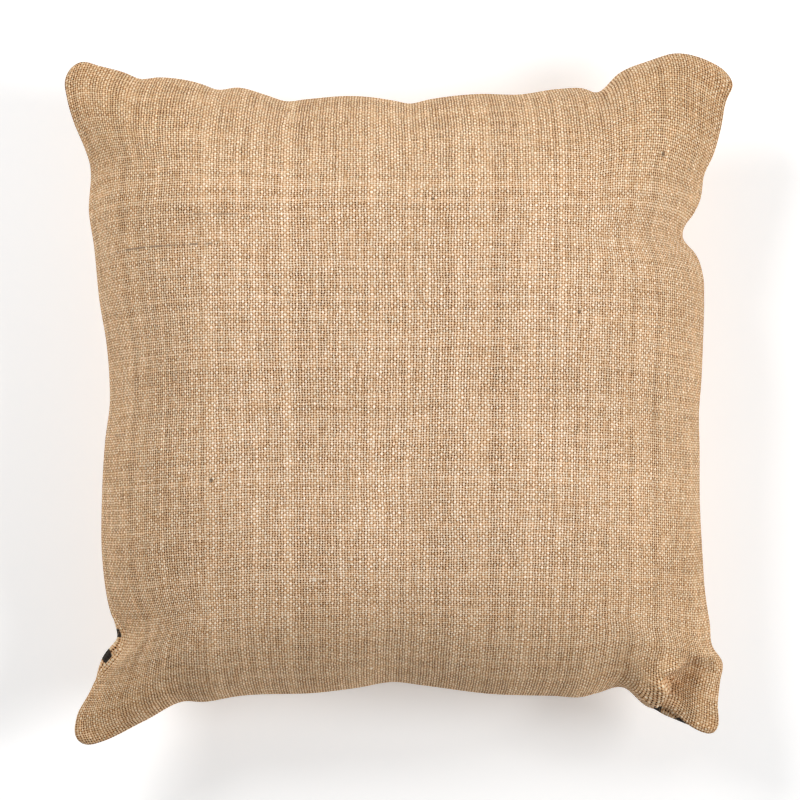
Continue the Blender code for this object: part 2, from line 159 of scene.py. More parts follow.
# The zipper and its mouth, as in the CAD. A level is a height over the seam, and a depth lies behind the
# zipper's front at ZIP_Y.
ZIP_Y = -182.5 * MM
ZIP_LEFT, ZIP_RIGHT = -118 * MM, 138 * MM
MOUTH_LEVEL = 3.2 * MM
MOUTH_MARGIN, MOUTH_TAPER = 11 * MM, 16 * MM  # past the zipper's ends: the mouth, and where it closes
LIP_REACH = 14 * MM  # how far behind the front the folded edges of the mouth end
TAPE_LEVEL, TAPE_THICK = 1.8 * MM, 0.5 * MM
TAPE_DEPTH, TAPE_WIDTH, TAPE_PAST = 0.9 * MM, 12 * MM, 5.9 * MM
COIL_LEVEL, COIL_HEIGHT = 0.6 * MM, 0.9 * MM
COIL_DEPTH, COIL_WIDTH = 0.7 * MM, 2.3 * MM
COIL_PITCH, FILAMENT = 1.2 * MM, 0.19 * MM
CORE_RADIUS, CORE_BACK = 0.055 * MM, 0.35 * MM  # the cord in a coil, and how far behind its middle it is

# Stitching. "Past" is how far beyond the zipper's ends a thing lies.
STITCH, STITCH_WAVE, THREAD_RADIUS = 3 * MM, 0.12 * MM, 0.15 * MM
SEAM_STITCH_INSET = 2 * MM
OVERLOCK_INSET, OVERLOCK_PITCH = 9.2 * MM, 1.25 * MM
OVERLOCK_HALF_WIDTH, OVERLOCK_HALF_HEIGHT = 1.7 * MM, 1.62 * MM
TACK_PAST, TACK_HALF_LENGTH, TACK_HALF_WIDTH, TACK_TURNS = 8 * MM, 1 * MM, 1.6 * MM, 7
TACK_DEPTH, TACK_LEVEL = 2.15 * MM, MOUTH_LEVEL - 0.75 * MM
TAPE_STITCH_DEPTH, TAPE_STITCH_PAST = 5 * MM, 5.5 * MM

CLAMP_ROUNDING, SLIDER_ROUNDING = 0.12 * MM, 0.16 * MM  # of the metal pieces' edges

# Each label's place on the flat cloth, as ranges of s and t.
LABELS = {"care_label": ((0.86, 0.95), (-0.66, -0.52)), "insert_label": ((-0.94, -0.84), (0.30, 0.48))}
LABEL_DEPTHS, LABEL_GRID = (1.5 * MM, 1.8 * MM), (25, 33)

WARPS, WEFTS = 246, 282  # threads across the flat cover

# The print, in mm: the border's distance from the seam, the length of a leaf's place on it, how far a
# leaf reaches out of the stem, and the wreath and the rings in the middle.
BORDER_INSET, BORDER_PERIOD, BORDER_REACH = 8.5, 17.78, 12
WREATH_RADIUS, WREATH_LEAVES, WREATH_REACH = 104, 30, 15
RING_CENTRES, RING_RADIUS, RING_LINE = (-19, 19), 30, 3.6


def frame_shift():
    """How far the design's middle lies from the frame's origin, read off the zipper's tape."""
    low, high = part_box("zipper_tape_upper")
    middle = (ZIP_LEFT + ZIP_RIGHT) / 2
    return Vector(((low.x + high.x) / 2 - middle, low.y - (ZIP_Y + TAPE_DEPTH), 0))


SHIFT = frame_shift()


# ---- The outline ----


def smooth_step(x):
    x = np.clip(x, 0, 1)
    return x * x * (3 - 2 * x)


def unit(vectors):
    """The vectors at a length of 1."""
    return vectors / np.linalg.norm(vectors, axis=-1, keepdims=True)


def run_along(path):
    """The length run at each point of a path."""
    return np.concatenate([[0], np.cumsum(np.linalg.norm(np.diff(path, axis=0), axis=1))])


def placed(name, data):
    """A new object in the scene, of this mesh, light or camera."""
    made = bpy.data.objects.new(name, data)
    bpy.context.collection.objects.link(made)
    return made


def curve_through(points, at):
    """A smooth curve through the (share, value) points, read at the shares in the array at."""
    t, v = np.array(points, float).T
    slope = np.gradient(v, t)
    i = np.clip(np.searchsorted(t, at, side="right") - 1, 0, len(t) - 2)
    step = t[i + 1] - t[i]
    s = (at - t[i]) / step
    return (
        v[i] * (2 * s**3 - 3 * s**2 + 1)
        + v[i + 1] * (3 * s**2 - 2 * s**3)
        + step * (slope[i] * (s**3 - 2 * s**2 + s) + slope[i + 1] * (s**3 - s**2))
    )


def edge_points(side, start, end, share, depth):
    """Points of one side's line, moved in with the share. The puckers fade with the depth from the edge."""
    a, b = (np.array(CORNERS[c], float) * MM for c in (start, end))
    along = unit(b - a)
    inward = np.array([-along[1], along[0]])
    inward *= -np.sign(inward @ (a + b))
    pull = curve_through(EDGE_PULL[side], share)
    for roll in SEAM_ROLLS:
        if roll[0] == side:
            pull = pull + roll[ROLL_INSET] * np.exp(-(((share - roll[1]) / roll[2]) ** 2))
    even = EVEN_PULL[side] * (1 - np.abs(2 * share - 1) ** 4)
    pull = (even + (pull - even) * np.exp(-((depth / PUCKER_REACH) ** 2))) * MM
    return a + share[..., None] * (b - a) + pull[..., None] * inward


def plan(s, t):
    """The plan (x, y) of a patch that fills the outline, at s and t from -1 to 1. Its corners are rounded."""
    near_s, near_t = (np.clip((np.abs(k) - 1 + CORNER_ZONE) / CORNER_ZONE, 0, 1) ** 2 for k in (s, t))
    pinch = 1 - CORNER_PINCH * near_s * near_t
    s, t = s * pinch, t * pinch
    u, v = (s + 1) / 2, (t + 1) / 2
    bottom = edge_points("bottom", "bottom_left", "bottom_right", u, v)
    top = edge_points("top", "top_left", "top_right", u, 1 - v)
    left = edge_points("left", "bottom_left", "top_left", v, u)
    right = edge_points("right", "bottom_right", "top_right", v, 1 - u)
    corner = {name: np.array(at, float) * MM for name, at in CORNERS.items()}
    u, v = u[..., None], v[..., None]
    corners = (1 - v) * ((1 - u) * corner["bottom_left"] + u * corner["bottom_right"])
    corners += v * ((1 - u) * corner["top_left"] + u * corner["top_right"])
    return (1 - v) * bottom + v * top + (1 - u) * left + u * right - corners


def mouth(x, t):
    """1 along the zipper's mouth, falling to 0 past its ends and away from the bottom edge."""
    past = np.maximum(ZIP_LEFT - x, x - ZIP_RIGHT) - MOUTH_MARGIN
    return smooth_step(1 - past / MOUTH_TAPER) * smooth_step((-t - 0.55) / 0.3)


def roll_share(s, t, row):
    """How much of one row of SEAM_ROLLS is felt at the points s, t: 1 in its middle, fading to 0."""
    side, middle, reach = row[:3]
    along = (t + 1) / 2 if side in ("left", "right") else (s + 1) / 2
    depth = {"left": s + 1, "right": 1 - s, "bottom": t + 1, "top": 1 - t}[side]
    return np.exp(-(((along - middle) / reach) ** 2) - (depth / ROLL_DEPTH) ** 2)


def rolled(s, t):
    """The rise of the seam near the points s, t."""
    return sum(row[ROLL_RISE] * MM * roll_share(s, t, row) for row in SEAM_ROLLS)


def inset_plan(a, b, insets):
    """The plan (x, y) of shares a and b on a patch whose edges lie these mm inside the outline."""

    def moved(share, low, high):
        return share + np.where(share < 0, low, -high) * MM * np.abs(share) ** 5 / HALF_SIDE

    left, right, bottom, top = insets
    return plan(moved(a, left, right), moved(b, bottom, top))


# ---- The cover's cloth ----


def start_shape(half):
    """The cover's half before the simulation: (positions, flat s, flat t), as square grids."""

    def spread(k, drop):
        """Cloth evenly spread over the crown, instead of evenly spread over the plan."""
        a = np.linspace(-1, 1, 2001)
        z = drop * (1 - np.abs(a) ** CROWN_POWER) ** CROWN_ROUNDING
        length = run_along(np.column_stack([a * HALF_PLAN, z]))
        return np.interp(k, length / length[-1] * 2 - 1, a)

    k = np.linspace(-1, 1, CELLS + 1)
    s, t = np.meshgrid(k, k, indexing="ij")
    height = TOP_RISE if half > 0 else BOTTOM_DROP
    even = spread(k, height)
    a = even[:, None] * (1 - t**4) + s * t**4
    b = even[None, :] * (1 - s**4) + t * s**4
    xy = plan(a, b)
    crown = ((1 - a**CROWN_POWER) * (1 - b**CROWN_POWER)) ** CROWN_ROUNDING
    level = FOLD_LEVEL + (MOUTH_LEVEL - SEAM_GAP) * mouth(xy[..., 0], b)
    z = SEAM_Z + rolled(a, b) + half * (level + (height - FOLD_LEVEL) * crown)
    return np.dstack([xy, np.maximum(z, 0.4 * MM)]), s, t


def grid_faces(m, n, flip=False):
    k = np.arange(m * n).reshape(m, n)
    quads = np.stack([k[:-1, :-1], k[1:, :-1], k[1:, 1:], k[:-1, 1:]], -1).reshape(-1, 4)
    return quads[:, ::-1] if flip else quads


def mesh_object(name, points, faces, uv=None, corner_uv=None):
    """An object of these points and faces, with a UV map called weave: a place for each point or corner."""
    mesh = bpy.data.meshes.new(name)
    mesh.from_pydata([tuple(p) for p in points], [], [tuple(int(k) for k in f) for f in faces])
    if uv is not None or corner_uv is not None:
        layer = mesh.uv_layers.new(name="weave")
        index = np.empty(len(mesh.loops), np.int32)
        mesh.loops.foreach_get("vertex_index", index)
        places = corner_uv if uv is None else np.asarray(uv)[index]
        layer.data.foreach_set("uv", np.asarray(places, np.float32).ravel())
    mesh.shade_smooth()
    return placed(name, mesh)


def simulate(half, points, s, t):
    """Blender's Cloth on one half of the cover: cut flat, sewn down along the seam, and stuffed.

    The stuffing is the pressure. The lower half presses on a floor. Returns the new positions.
    """
    n = CELLS + 1
    cloth = mesh_object("cloth", points.reshape(-1, 3), grid_faces(n, n, half < 0))
    cloth.shape_key_add(name="Basis")
    flat = cloth.shape_key_add(name="flat")
    rest = np.dstack([s, t, s * 0]).reshape(-1, 3) * FLAT_SIDE / 2
    flat.data.foreach_set("co", rest.ravel())
    seam = cloth.vertex_groups.new(name="seam")
    k = np.arange(n * n).reshape(n, n)
    ring = np.concatenate([k[0], k[-1], k[:, 0], k[:, -1]])
    seam.add([int(i) for i in np.unique(ring)], 1.0, "REPLACE")

    modifier = cloth.modifiers.new("cloth", "CLOTH")
    settings = modifier.settings
    settings.rest_shape_key = flat
    settings.vertex_group_mass = "seam"
    settings.quality = 6
    settings.mass = 0.3
    settings.tension_stiffness = settings.compression_stiffness = 40
    settings.shear_stiffness = 8
    settings.bending_stiffness = 2.0
    settings.tension_damping = settings.compression_damping = settings.shear_damping = 5
    settings.air_damping = 3
    settings.use_pressure = True
    settings.uniform_pressure_force = 2.0
    settings.effector_weights.gravity = 0
    modifier.collision_settings.use_self_collision = False
    modifier.collision_settings.use_collision = half < 0
    modifier.collision_settings.distance_min = SIM_FLOOR
    floor = None
    if half < 0:
        corners = [(x, y, -SIM_FLOOR) for x in (-1, 1) for y in (-1, 1)]
        floor = mesh_object("sim_floor", corners, [(0, 2, 3, 1)])
        floor.modifiers.new("collision", "COLLISION")
        floor.collision.thickness_outer = SIM_FLOOR
    modifier.point_cache.frame_end = SIM_FRAMES
    for number in range(1, SIM_FRAMES + 1):
        bpy.context.scene.frame_set(number)
    found = cloth.evaluated_get(bpy.context.evaluated_depsgraph_get())
    made = np.empty(n * n * 3, np.float32)
    found.data.vertices.foreach_get("co", made)
    bpy.context.scene.frame_set(1)
    for spare in (cloth, floor):
        if spare is not None:
            bpy.data.objects.remove(spare)
    return made.reshape(n, n, 3).astype(float)


def relax(points, rounds):
    """Evens out crumples a cell or two wide, and keeps the rim."""
    for _ in range(rounds):
        middle = points[1:-1, 1:-1]
        around = (points[:-2, 1:-1] + points[2:, 1:-1] + points[1:-1, :-2] + points[1:-1, 2:]) / 4
        points[1:-1, 1:-1] = middle + 0.5 * (around - middle)
    return points


def resample(grid, across, up):
    """The grid read smoothly at these places, from 0 to 1, along its two axes."""
    for axis, places in ((0, across), (1, up)):
        grid = np.moveaxis(grid, axis, 0)
        padded = np.concatenate([2 * grid[:1] - grid[1:2], grid, 2 * grid[-1:] - grid[-2:-1]])
        where = places * (len(grid) - 1)
        k = np.clip(where.astype(int), 0, len(grid) - 2)
        f = (where - k).reshape(-1, *[1] * (grid.ndim - 1))
        p, q, r, z = (padded[k + step] for step in range(4))
        cubic = 2 * p - 5 * q + 4 * r - z + f * (3 * (q - r) + z - p)
        grid = np.moveaxis(q + 0.5 * f * (r - p + f * cubic), 0, axis)
    return grid


def normals(points, half):
    du, dv = np.gradient(points, axis=0), np.gradient(points, axis=1)
    n = np.cross(du, dv) * half
    return n / np.maximum(np.linalg.norm(n, axis=2, keepdims=True), 1e-12)


def settle(z):
    """The lower half's heights, pressed flat on the floor in the middle by the pillow's own weight."""
    z = SEAM_Z - (SEAM_Z - z) * (SEAM_Z + PRESSED) / (SEAM_Z - z.min())
    return FLOOR_GAP + PRESSED / 2 * np.logaddexp(0, (z - FLOOR_GAP) / (PRESSED / 2))


def cover_half(half):
    """The stuffed half of the cover: (positions, s, t) on a fine grid, its outer surface."""
    points, s, t = start_shape(half)
    points = simulate(half, points, s, t)
    points = relax(points, CRUMPLE_ROUNDS)
    if half < 0:
        points[..., 2] = settle(points[..., 2])
    even = np.linspace(0, 1, LINES)
    lines = even - EDGE_CROWDING * np.sin(2 * math.pi * even) / (2 * math.pi)
    points, s, t = (resample(grid, lines, lines) for grid in (points, s, t))
    points = sculpt(points, s, t, half)
    points[..., 2] = np.maximum(points[..., 2], 0)
    return points, s, t


def crease(points, start, end, low, bulge, lean, softer):
    """Folds the cloth along the line from start to end, so that its right side lies under its left side.

    The cloth on the left bulges and leans over the line near its start, where the fold is sharp. The
    fold gets softer towards its end. The arguments are those of CREASES. Here p is the share of the way
    along the line, and q is mm to the right of it.
    """
    a, b = np.array(start) * MM, np.array(end) * MM
    length = np.linalg.norm(b - a)
    along = (b - a) / length
    right = np.array([along[1], -along[0]])
    offset = points[..., :2] - a
    p, q = offset @ along / length, offset @ right / MM
    ends = smooth_step((p + 0.7) / 0.3) * smooth_step((1.25 - p) / 0.5)
    sharp = ends * smooth_step((1.0 - p) / 0.7)
    drop = DROP_WIDTH + softer * smooth_step((p - 0.15) / 0.85)
    past_lip = (q + LIP_SHARE * drop) / drop
    flap = SEAM_Z + MM * (low + FLAP_SLOPE * np.maximum(q - FLAP_FOOT, 0))
    under = ends * smooth_step(past_lip)
    points[..., 2] += under * np.minimum(flap - points[..., 2], 0)
    points[..., 2] += MM * bulge * sharp * np.exp(-(((q + 6) / 6) ** 2))
    leaning = np.exp(-((np.minimum(past_lip * drop, 0) / 7) ** 2)) * smooth_step(1 - past_lip)
    points[..., :2] += (lean * MM * leaning * sharp)[..., None] * right
    smoothed = relax(points.copy(), FOLD_ROUNDS)
    near = (ends * np.exp(-(((q - 3) / 12) ** 2)))[..., None]
    return points + (smoothed - points) * near


def out_of(points, side):
    """Unit vectors in plan that point out of one side's seam, to apply to the rows behind it."""
    edge = {"left": points[:1], "right": points[-1:], "bottom": points[:, :1], "top": points[:, -1:]}[side]
    along = np.gradient(edge[..., :2], axis=1 if side in ("left", "right") else 0)
    out = np.stack([-along[..., 1], along[..., 0]], axis=-1) * (1 if side in ("left", "top") else -1)
    return unit(out)


def sculpt(points, s, t, half):
    """The folds that a stuffed cover gets from handling, after the simulation."""
    depth = 1 - np.maximum(np.abs(s), np.abs(t))
    made = points.copy()
    if half > 0:
        for fold in CREASES:
            made = crease(made, *fold)
        from_seam = depth * FLAT_SIDE / 2 / MM
        free = smooth_step((from_seam - ALLOWANCE_EDGE) / FREE_WIDTH)
        lowest = SEAM_Z + rolled(s, t) + ALLOWANCE_ROOM - FREE_DROP * free
        made[..., 2] = np.maximum(made[..., 2], lowest)
    for row in SEAM_ROLLS:
        moved = row[ROLL_BULGE] * (1 if half < 0 else PLAIN_BULGE) * MM * roll_share(s, t, row)
        made[..., :2] += out_of(points, row[0]) * moved[..., None]
    inner = smooth_step(depth / SEAM_FADE[half])
    return points + (made - points) * inner[..., None]


# ---- Panels: a sheet with thickness, and a seam allowance turned in ----


def rim_loop(shape):
    """Indices (i, j) round the edge of a grid, anticlockwise from its bottom left corner."""
    m, n = shape[0] - 1, shape[1] - 1
    bottom = [(i, 0) for i in range(m)]
    right = [(m, j) for j in range(n)]
    top = [(i, n) for i in range(m, 0, -1)]
    left = [(0, j) for j in range(n, 0, -1)]
    return np.array(bottom + right + top + left)


def inward_of(loop_xy):
    """Unit vectors in plan that point inwards from a closed anticlockwise loop of points."""
    along = np.roll(loop_xy, -3, axis=0) - np.roll(loop_xy, 3, axis=0)
    return unit(np.stack([-along[:, 1], along[:, 0]], axis=1))


class Rim:
    """The cover's sewn edge: where it runs, and points at an inset and level from it."""

    def __init__(self, points, s, t):
        loop = rim_loop(points.shape)
        self.ij = loop
        self.s, self.t = s[loop[:, 0], loop[:, 1]], t[loop[:, 0], loop[:, 1]]
        self.xy = points[loop[:, 0], loop[:, 1], :2]
        self.inward = inward_of(self.xy)
        self.z = SEAM_Z + rolled(self.s, self.t)
        self.open = mouth(self.xy[:, 0], self.t)
        self.open[np.abs(self.t + 1) > 1e-6] = 0

    def at(self, inset, level, half, opens=True, reach=None):
        xy = self.xy + self.inward * inset
        # The corners pull straight towards the middle, so that the inner loops do not cross.
        corner = smooth_step((np.minimum(np.abs(self.s), np.abs(self.t)) - 0.93) / 0.07)[:, None]
        middle = -unit(self.xy)
        xy = xy * (1 - corner) + (self.xy + middle * inset * 1.35) * corner
        if reach is not None:
            xy[:, 1] += self.open * (ZIP_Y + reach - xy[:, 1])
        level = level + (MOUTH_LEVEL - SEAM_GAP) * self.open * opens
        return np.column_stack([xy, self.z + half * level])

    def flat(self, beyond):
        """Places on the flat cloth, this many metres beyond the seam."""
        grow = 1 + 2 * beyond / FLAT_SIDE
        return np.column_stack([self.s, self.t]) * grow * 0.5 + 0.5


def even_weave(points, s, t):
    """The flat cloth's places (0 to 1) of the grid's points, evened out round the folded corner.

    There the surface is longer than the cloth that the simulation put on it. The places slide until the
    threads are spread as evenly as they can be, and the rest of the cloth keeps its own.
    """
    flat = np.dstack([s, t]) * 0.5 + 0.5
    i, j = int(len(points) * EVEN_ACROSS), int(len(points) * EVEN_UP)
    part, at = points[i:, :j], flat[i:, :j]
    near = np.linalg.norm(part[..., :2] / MM - np.array(SAG_MIDDLE), axis=-1)
    free = smooth_step((EVEN_REACH - near) / EVEN_FADE)[1:-1, 1:-1, None]
    across = np.linalg.norm(np.diff(part, axis=0), axis=-1)
    up = np.linalg.norm(np.diff(part, axis=1), axis=-1)
    pull_across = (up[1:, 1:] + up[:-1, 1:] + up[1:, :-1] + up[:-1, :-1]) / (4 * across[:, 1:-1])
    pull_up = (across[1:, 1:] + across[:-1, 1:] + across[1:, :-1] + across[:-1, :-1]) / (4 * up[1:-1])
    total = pull_across[:-1] + pull_across[1:] + pull_up[:, :-1] + pull_up[:, 1:]
    for _ in range(EVEN_ROUNDS):
        middle = pull_across[:-1, :, None] * at[:-2, 1:-1] + pull_across[1:, :, None] * at[2:, 1:-1]
        middle += pull_up[:, :-1, None] * at[1:-1, :-2] + pull_up[:, 1:, None] * at[1:-1, 2:]
        at[1:-1, 1:-1] += free * (middle / total[..., None] - at[1:-1, 1:-1])
    return flat


def panel(name, points, s, t, half):
    """One half of the cover as a closed shell of burlap."""
    n = len(points)
    rim = Rim(points, s, t)
    outward = normals(points, half)
    inner = points - outward * BURLAP
    # Near the rim the inside is stepped in, clear of the turned-in allowance.
    edge_xy = rim.at(1.4 * BURLAP, SEAM_GAP + 1.35 * BURLAP, half)
    inner[rim.ij[:, 0], rim.ij[:, 1]] = edge_xy
    loops = [
        (rim.at(0.1 * BURLAP, SEAM_GAP + 0.75 * BURLAP, half), 0.4 * MM),
        (rim.at(0.45 * BURLAP, SEAM_GAP + 0.2 * BURLAP, half), 1.0 * MM),
        (rim.at(1.1 * BURLAP, SEAM_GAP, half), 1.6 * MM),
        (rim.at(0.5 * ALLOWANCE, SEAM_GAP, half, reach=0.5 * LIP_REACH), 5 * MM),
        (rim.at(ALLOWANCE, SEAM_GAP, half, reach=LIP_REACH), 10 * MM),
        (rim.at(ALLOWANCE, SEAM_GAP + BURLAP, half, reach=LIP_REACH), 10.5 * MM),
        (rim.at(2.2 * BURLAP, SEAM_GAP + BURLAP, half), 2 * MM),
    ]
    flat = (even_weave(points, s, t) if half > 0 else np.dstack([s, t]) * 0.5 + 0.5).reshape(-1, 2)
    outer_rim = rim.ij[:, 0] * n + rim.ij[:, 1]
    count = len(outer_rim)
    all_points = [points.reshape(-1, 3)] + [p for p, _ in loops] + [inner.reshape(-1, 3)]
    all_flat = [flat] + [rim.flat(b) for _, b in loops] + [flat]
    faces = [grid_faces(n, n, half < 0)]
    chain = [outer_rim] + [n * n + k * count + np.arange(count) for k in range(len(loops))]
    chain.append(n * n + len(loops) * count + outer_rim)
    for one, two in zip(chain, chain[1:]):
        strip = np.stack([one, two, np.roll(two, -1), np.roll(one, -1)], axis=1)
        faces.append(strip if half > 0 else strip[:, ::-1])
    faces.append(grid_faces(n, n, half > 0) + n * n + len(loops) * count)
    made = mesh_object(name, np.concatenate(all_points), np.concatenate(faces), np.concatenate(all_flat))
    made.location = SHIFT
    return made, rim


# ---- What is inside the cover ----


class Cover:
    """One finished half of the cover, to place the things inside it by."""

    def __init__(self, points, s, t, half):
        self.half = half
        self.points = points
        self.normals = normals(points, half)
        self.lines = (s[:, 0] + 1) / 2
        self.rows = np.linspace(0, 1, len(points))

    def below(self, across, up, depth):
        """Points this deep under the outside, at these shares (0 to 1) of the flat cloth."""
        across, up = (np.interp(share, self.lines, self.rows) for share in (across, up))
        return resample(self.points - self.normals * depth, across, up)


def insert_level(xy):
    """The height of the insert's seam over these plan points."""
    off = np.linalg.norm(xy / MM - np.array(SAG_MIDDLE), axis=-1)
    return SEAM_Z - SAG * np.exp(-((off / SAG_REACH) ** 2))


def inner_skin(cover, insets, depth, rim_level, count=97):
    """A skin parallel to one half of the cover, which closes in towards its own rim, and its a and b."""
    k = np.sin(np.linspace(-1, 1, count) * math.pi / 2)
    a, b = np.meshgrid(k, k, indexing="ij")
    left, right, bottom, top = (inset * MM / FLAT_SIDE * 2 for inset in insets)
    across = k * np.where(k < 0, 1 - left, 1 - right)
    up = k * np.where(k < 0, 1 - bottom, 1 - top)
    surface = cover.below((across + 1) / 2, (up + 1) / 2, depth)
    rim_xy = inset_plan(a, b, insets)
    rim = np.dstack([rim_xy, insert_level(rim_xy) + cover.half * rim_level])
    close = smooth_step((np.maximum(np.abs(a), np.abs(b)) - CLOSING) / (1 - CLOSING))[..., None]
    return surface * (1 - close) + rim * close, a, b


def slab(name, outer, inner, a, b, flip=False):
    """A closed sheet between two grids of points."""
    m, n = outer.shape[:2]
    loop = rim_loop(outer.shape)
    one = loop[:, 0] * n + loop[:, 1]
    two = one + m * n
    strip = np.stack([one, two, np.roll(two, -1), np.roll(one, -1)], axis=1)
    faces = [grid_faces(m, n, flip), grid_faces(m, n, not flip) + m * n, strip[:, ::-1] if flip else strip]
    flat = np.dstack([a, b]).reshape(-1, 2) * 0.5 + 0.5
    points = np.concatenate([outer.reshape(-1, 3), inner.reshape(-1, 3)])
    made = mesh_object(name, points, np.concatenate(faces), np.concatenate([flat, flat]))
    made.location = SHIFT
    return made


def insert_shell(name, cover):
    """One half of the cotton cover round the filling, with small puckers along its seam."""
    outer, a, b = inner_skin(cover, INSERT_INSETS, INSERT_DEPTH, INSERT_RIM)
    n = normals(outer, cover.half)
    near_rim = np.maximum(np.abs(a), np.abs(b)) ** 6
    pucker = 1 + np.sin(PUCKERS * np.where(np.abs(b) > np.abs(a), a, b))
    outer = outer - n * (PUCKER * near_rim * (1 - near_rim) * pucker)[..., None]
    inner = outer - n * SHELL
    edge = np.maximum(np.abs(a), np.abs(b)) > 0.9999
    inner[..., 2] = np.where(edge, outer[..., 2] + cover.half * SHELL, inner[..., 2])
    inner[..., :2] = np.where(edge[..., None], outer[..., :2] * 0.998, inner[..., :2])
    return slab(name, outer, inner, a, b, cover.half < 0)


def lumps(points):
    """A smooth, uneven number from 0 to 1 at each point, as in loose filling."""
    x, y = points[..., 0] / MM, points[..., 1] / MM
    waves = ((0.061, 0.043, 1.0), (-0.052, 0.081, 2.6), (0.117, -0.036, 4.1), (0.034, 0.128, 0.4))
    return 0.5 + sum(np.sin(p * x + q * y + start) for p, q, start in waves) / (2 * len(waves))


def filling(name, covers):
    """The hollow-fibre filling: one lumpy closed body."""
    skins = []
    for cover in covers:
        skin, a, b = inner_skin(cover, FILLING_INSETS, FILLING_DEPTH, FILLING_RIM)
        skin -= normals(skin, cover.half) * (LUMP * lumps(skin))[..., None]
        edge = np.maximum(np.abs(a), np.abs(b)) > 0.9999
        rim_z = insert_level(skin[..., :2]) + cover.half * FILLING_RIM
        skin[..., 2] = np.where(edge, rim_z, skin[..., 2])
        skins.append(skin)
    return slab(name, skins[0], skins[1], a, b)


def label(name, cover, s_range, t_range):
    """A blank woven label, which lies under the side of the cover."""
    across, up = np.linspace(*s_range, LABEL_GRID[0]), np.linspace(*t_range, LABEL_GRID[1])
    sides = [cover.below((across + 1) / 2, (up + 1) / 2, depth) for depth in LABEL_DEPTHS]
    a, b = np.meshgrid(*(np.linspace(-1, 1, count) for count in LABEL_GRID), indexing="ij")
    return slab(name, *sides, a, b)


# ---- Threads, wires and the zipper ----


class Tubes:
    """Round threads and wires, gathered into one mesh. Its UV map holds (metres along, share of a turn)."""

    def __init__(self):
        self.points, self.faces, self.uv = [], [], []

    def add(self, path, side, radius, sides=6):
        """A tube along the path with flat ends. side points across the path, and steadies its section."""
        along = unit(np.gradient(path, axis=0))
        side = np.broadcast_to(side, path.shape)
        side = unit(side - (side * along).sum(axis=1, keepdims=True) * along)
        up = np.cross(along, side)
        turn = (np.arange(sides) * 2 * math.pi / sides)[None, :, None]
        rings = path[:, None] + radius * (np.cos(turn) * side[:, None] + np.sin(turn) * up[:, None])
        first = sum(len(p) for p in self.points)
        self.points.append(rings.reshape(-1, 3))
        run = run_along(path)
        for i in range(len(path) - 1):
            here, there = first + i * sides, first + (i + 1) * sides
            for j in range(sides):
                after = (j + 1) % sides
                self.faces.append((here + j, here + after, there + after, there + j))
                low, high = j / sides, (j + 1) / sides
                self.uv += [(run[i], low), (run[i], high), (run[i + 1], high), (run[i + 1], low)]
        last = first + (len(path) - 1) * sides
        self.faces.append(tuple(first + j for j in reversed(range(sides))))
        self.faces.append(tuple(last + j for j in range(sides)))
        self.uv += [(0, 0)] * (2 * sides)

    def made(self, name):
        made = mesh_object(name, np.concatenate(self.points), self.faces, corner_uv=self.uv)
        made.location = SHIFT
        return made


def evenly(points, step):
    """The path's points at an even spacing, and the length run at each."""
    run = run_along(points)
    at = np.linspace(0, run[-1], max(2, int(round(run[-1] / step))))
    return np.column_stack([np.interp(at, run, points[:, k]) for k in range(3)]), at


def sewn_path(rim, inset):
    """The sewn part of the rim, this far inside it: from the mouth's right end round to its left end."""
    points = rim.at(inset, 0, 1, opens=False)
    shut = np.flatnonzero(rim.open > 0.01)
    return np.concatenate([points[shut[-1] + 1 :], points[: shut[0]]])


def lock_stitch(name, points, across):
    """A line of lock stitching: one thread that dips through the cloth once for each stitch."""
    path, run = evenly(points, STITCH / 6)
    path[:, 2] += STITCH_WAVE * np.cos(2 * math.pi * run / STITCH)
    tubes = Tubes()
    tubes.add(path, across, THREAD_RADIUS)
    return tubes.made(name)


UP = np.array([0, 0, 1])


def wound(centres, across, half_width, half_height, turns, per_turn):
    """A thread wound round a flat band: (path, outward vectors). across is the band's width direction."""
    count = int(turns * per_turn) + 1
    share = np.linspace(0, len(centres) - 1, count)
    k = np.arange(len(centres))
    middle = np.column_stack([np.interp(share, k, centres[:, d]) for d in range(3)])
    wide = np.column_stack([np.interp(share, k, across[:, d]) for d in range(3)])
    angle = np.arange(count) * 2 * math.pi / per_turn
    c, s = np.cos(angle), np.sin(angle)
    flat = [np.sign(v) * np.sqrt(np.abs(v)) for v in (c, s)]
    path = middle + wide * (half_width * flat[0])[:, None] + UP * (half_height * flat[1])[:, None]
    return path, wide * c[:, None] + UP * s[:, None]


def overlock(name, rim):
    """The overlock stitch round both raw edges of the seam allowance."""
    centre, _ = evenly(sewn_path(rim, OVERLOCK_INSET)[4:-4], OVERLOCK_PITCH)
    along = np.gradient(centre, axis=0)
    across = unit(np.column_stack([-along[:, 1], along[:, 0], 0 * along[:, 0]]))
    tubes = Tubes()
    turns = len(centre) // 2
    path, out = wound(centre, across, OVERLOCK_HALF_WIDTH, OVERLOCK_HALF_HEIGHT, turns, 10)
    tubes.add(path, out, THREAD_RADIUS, 5)
    return tubes.made(name)


def zipper_place(x, depth, level):
    """Points of the zipper: x along it, depth behind its front and level above the seam plane."""
    x, depth, level = np.broadcast_arrays(x, depth, level)
    return np.stack([x, ZIP_Y + depth, SEAM_Z + level], axis=-1).astype(float)


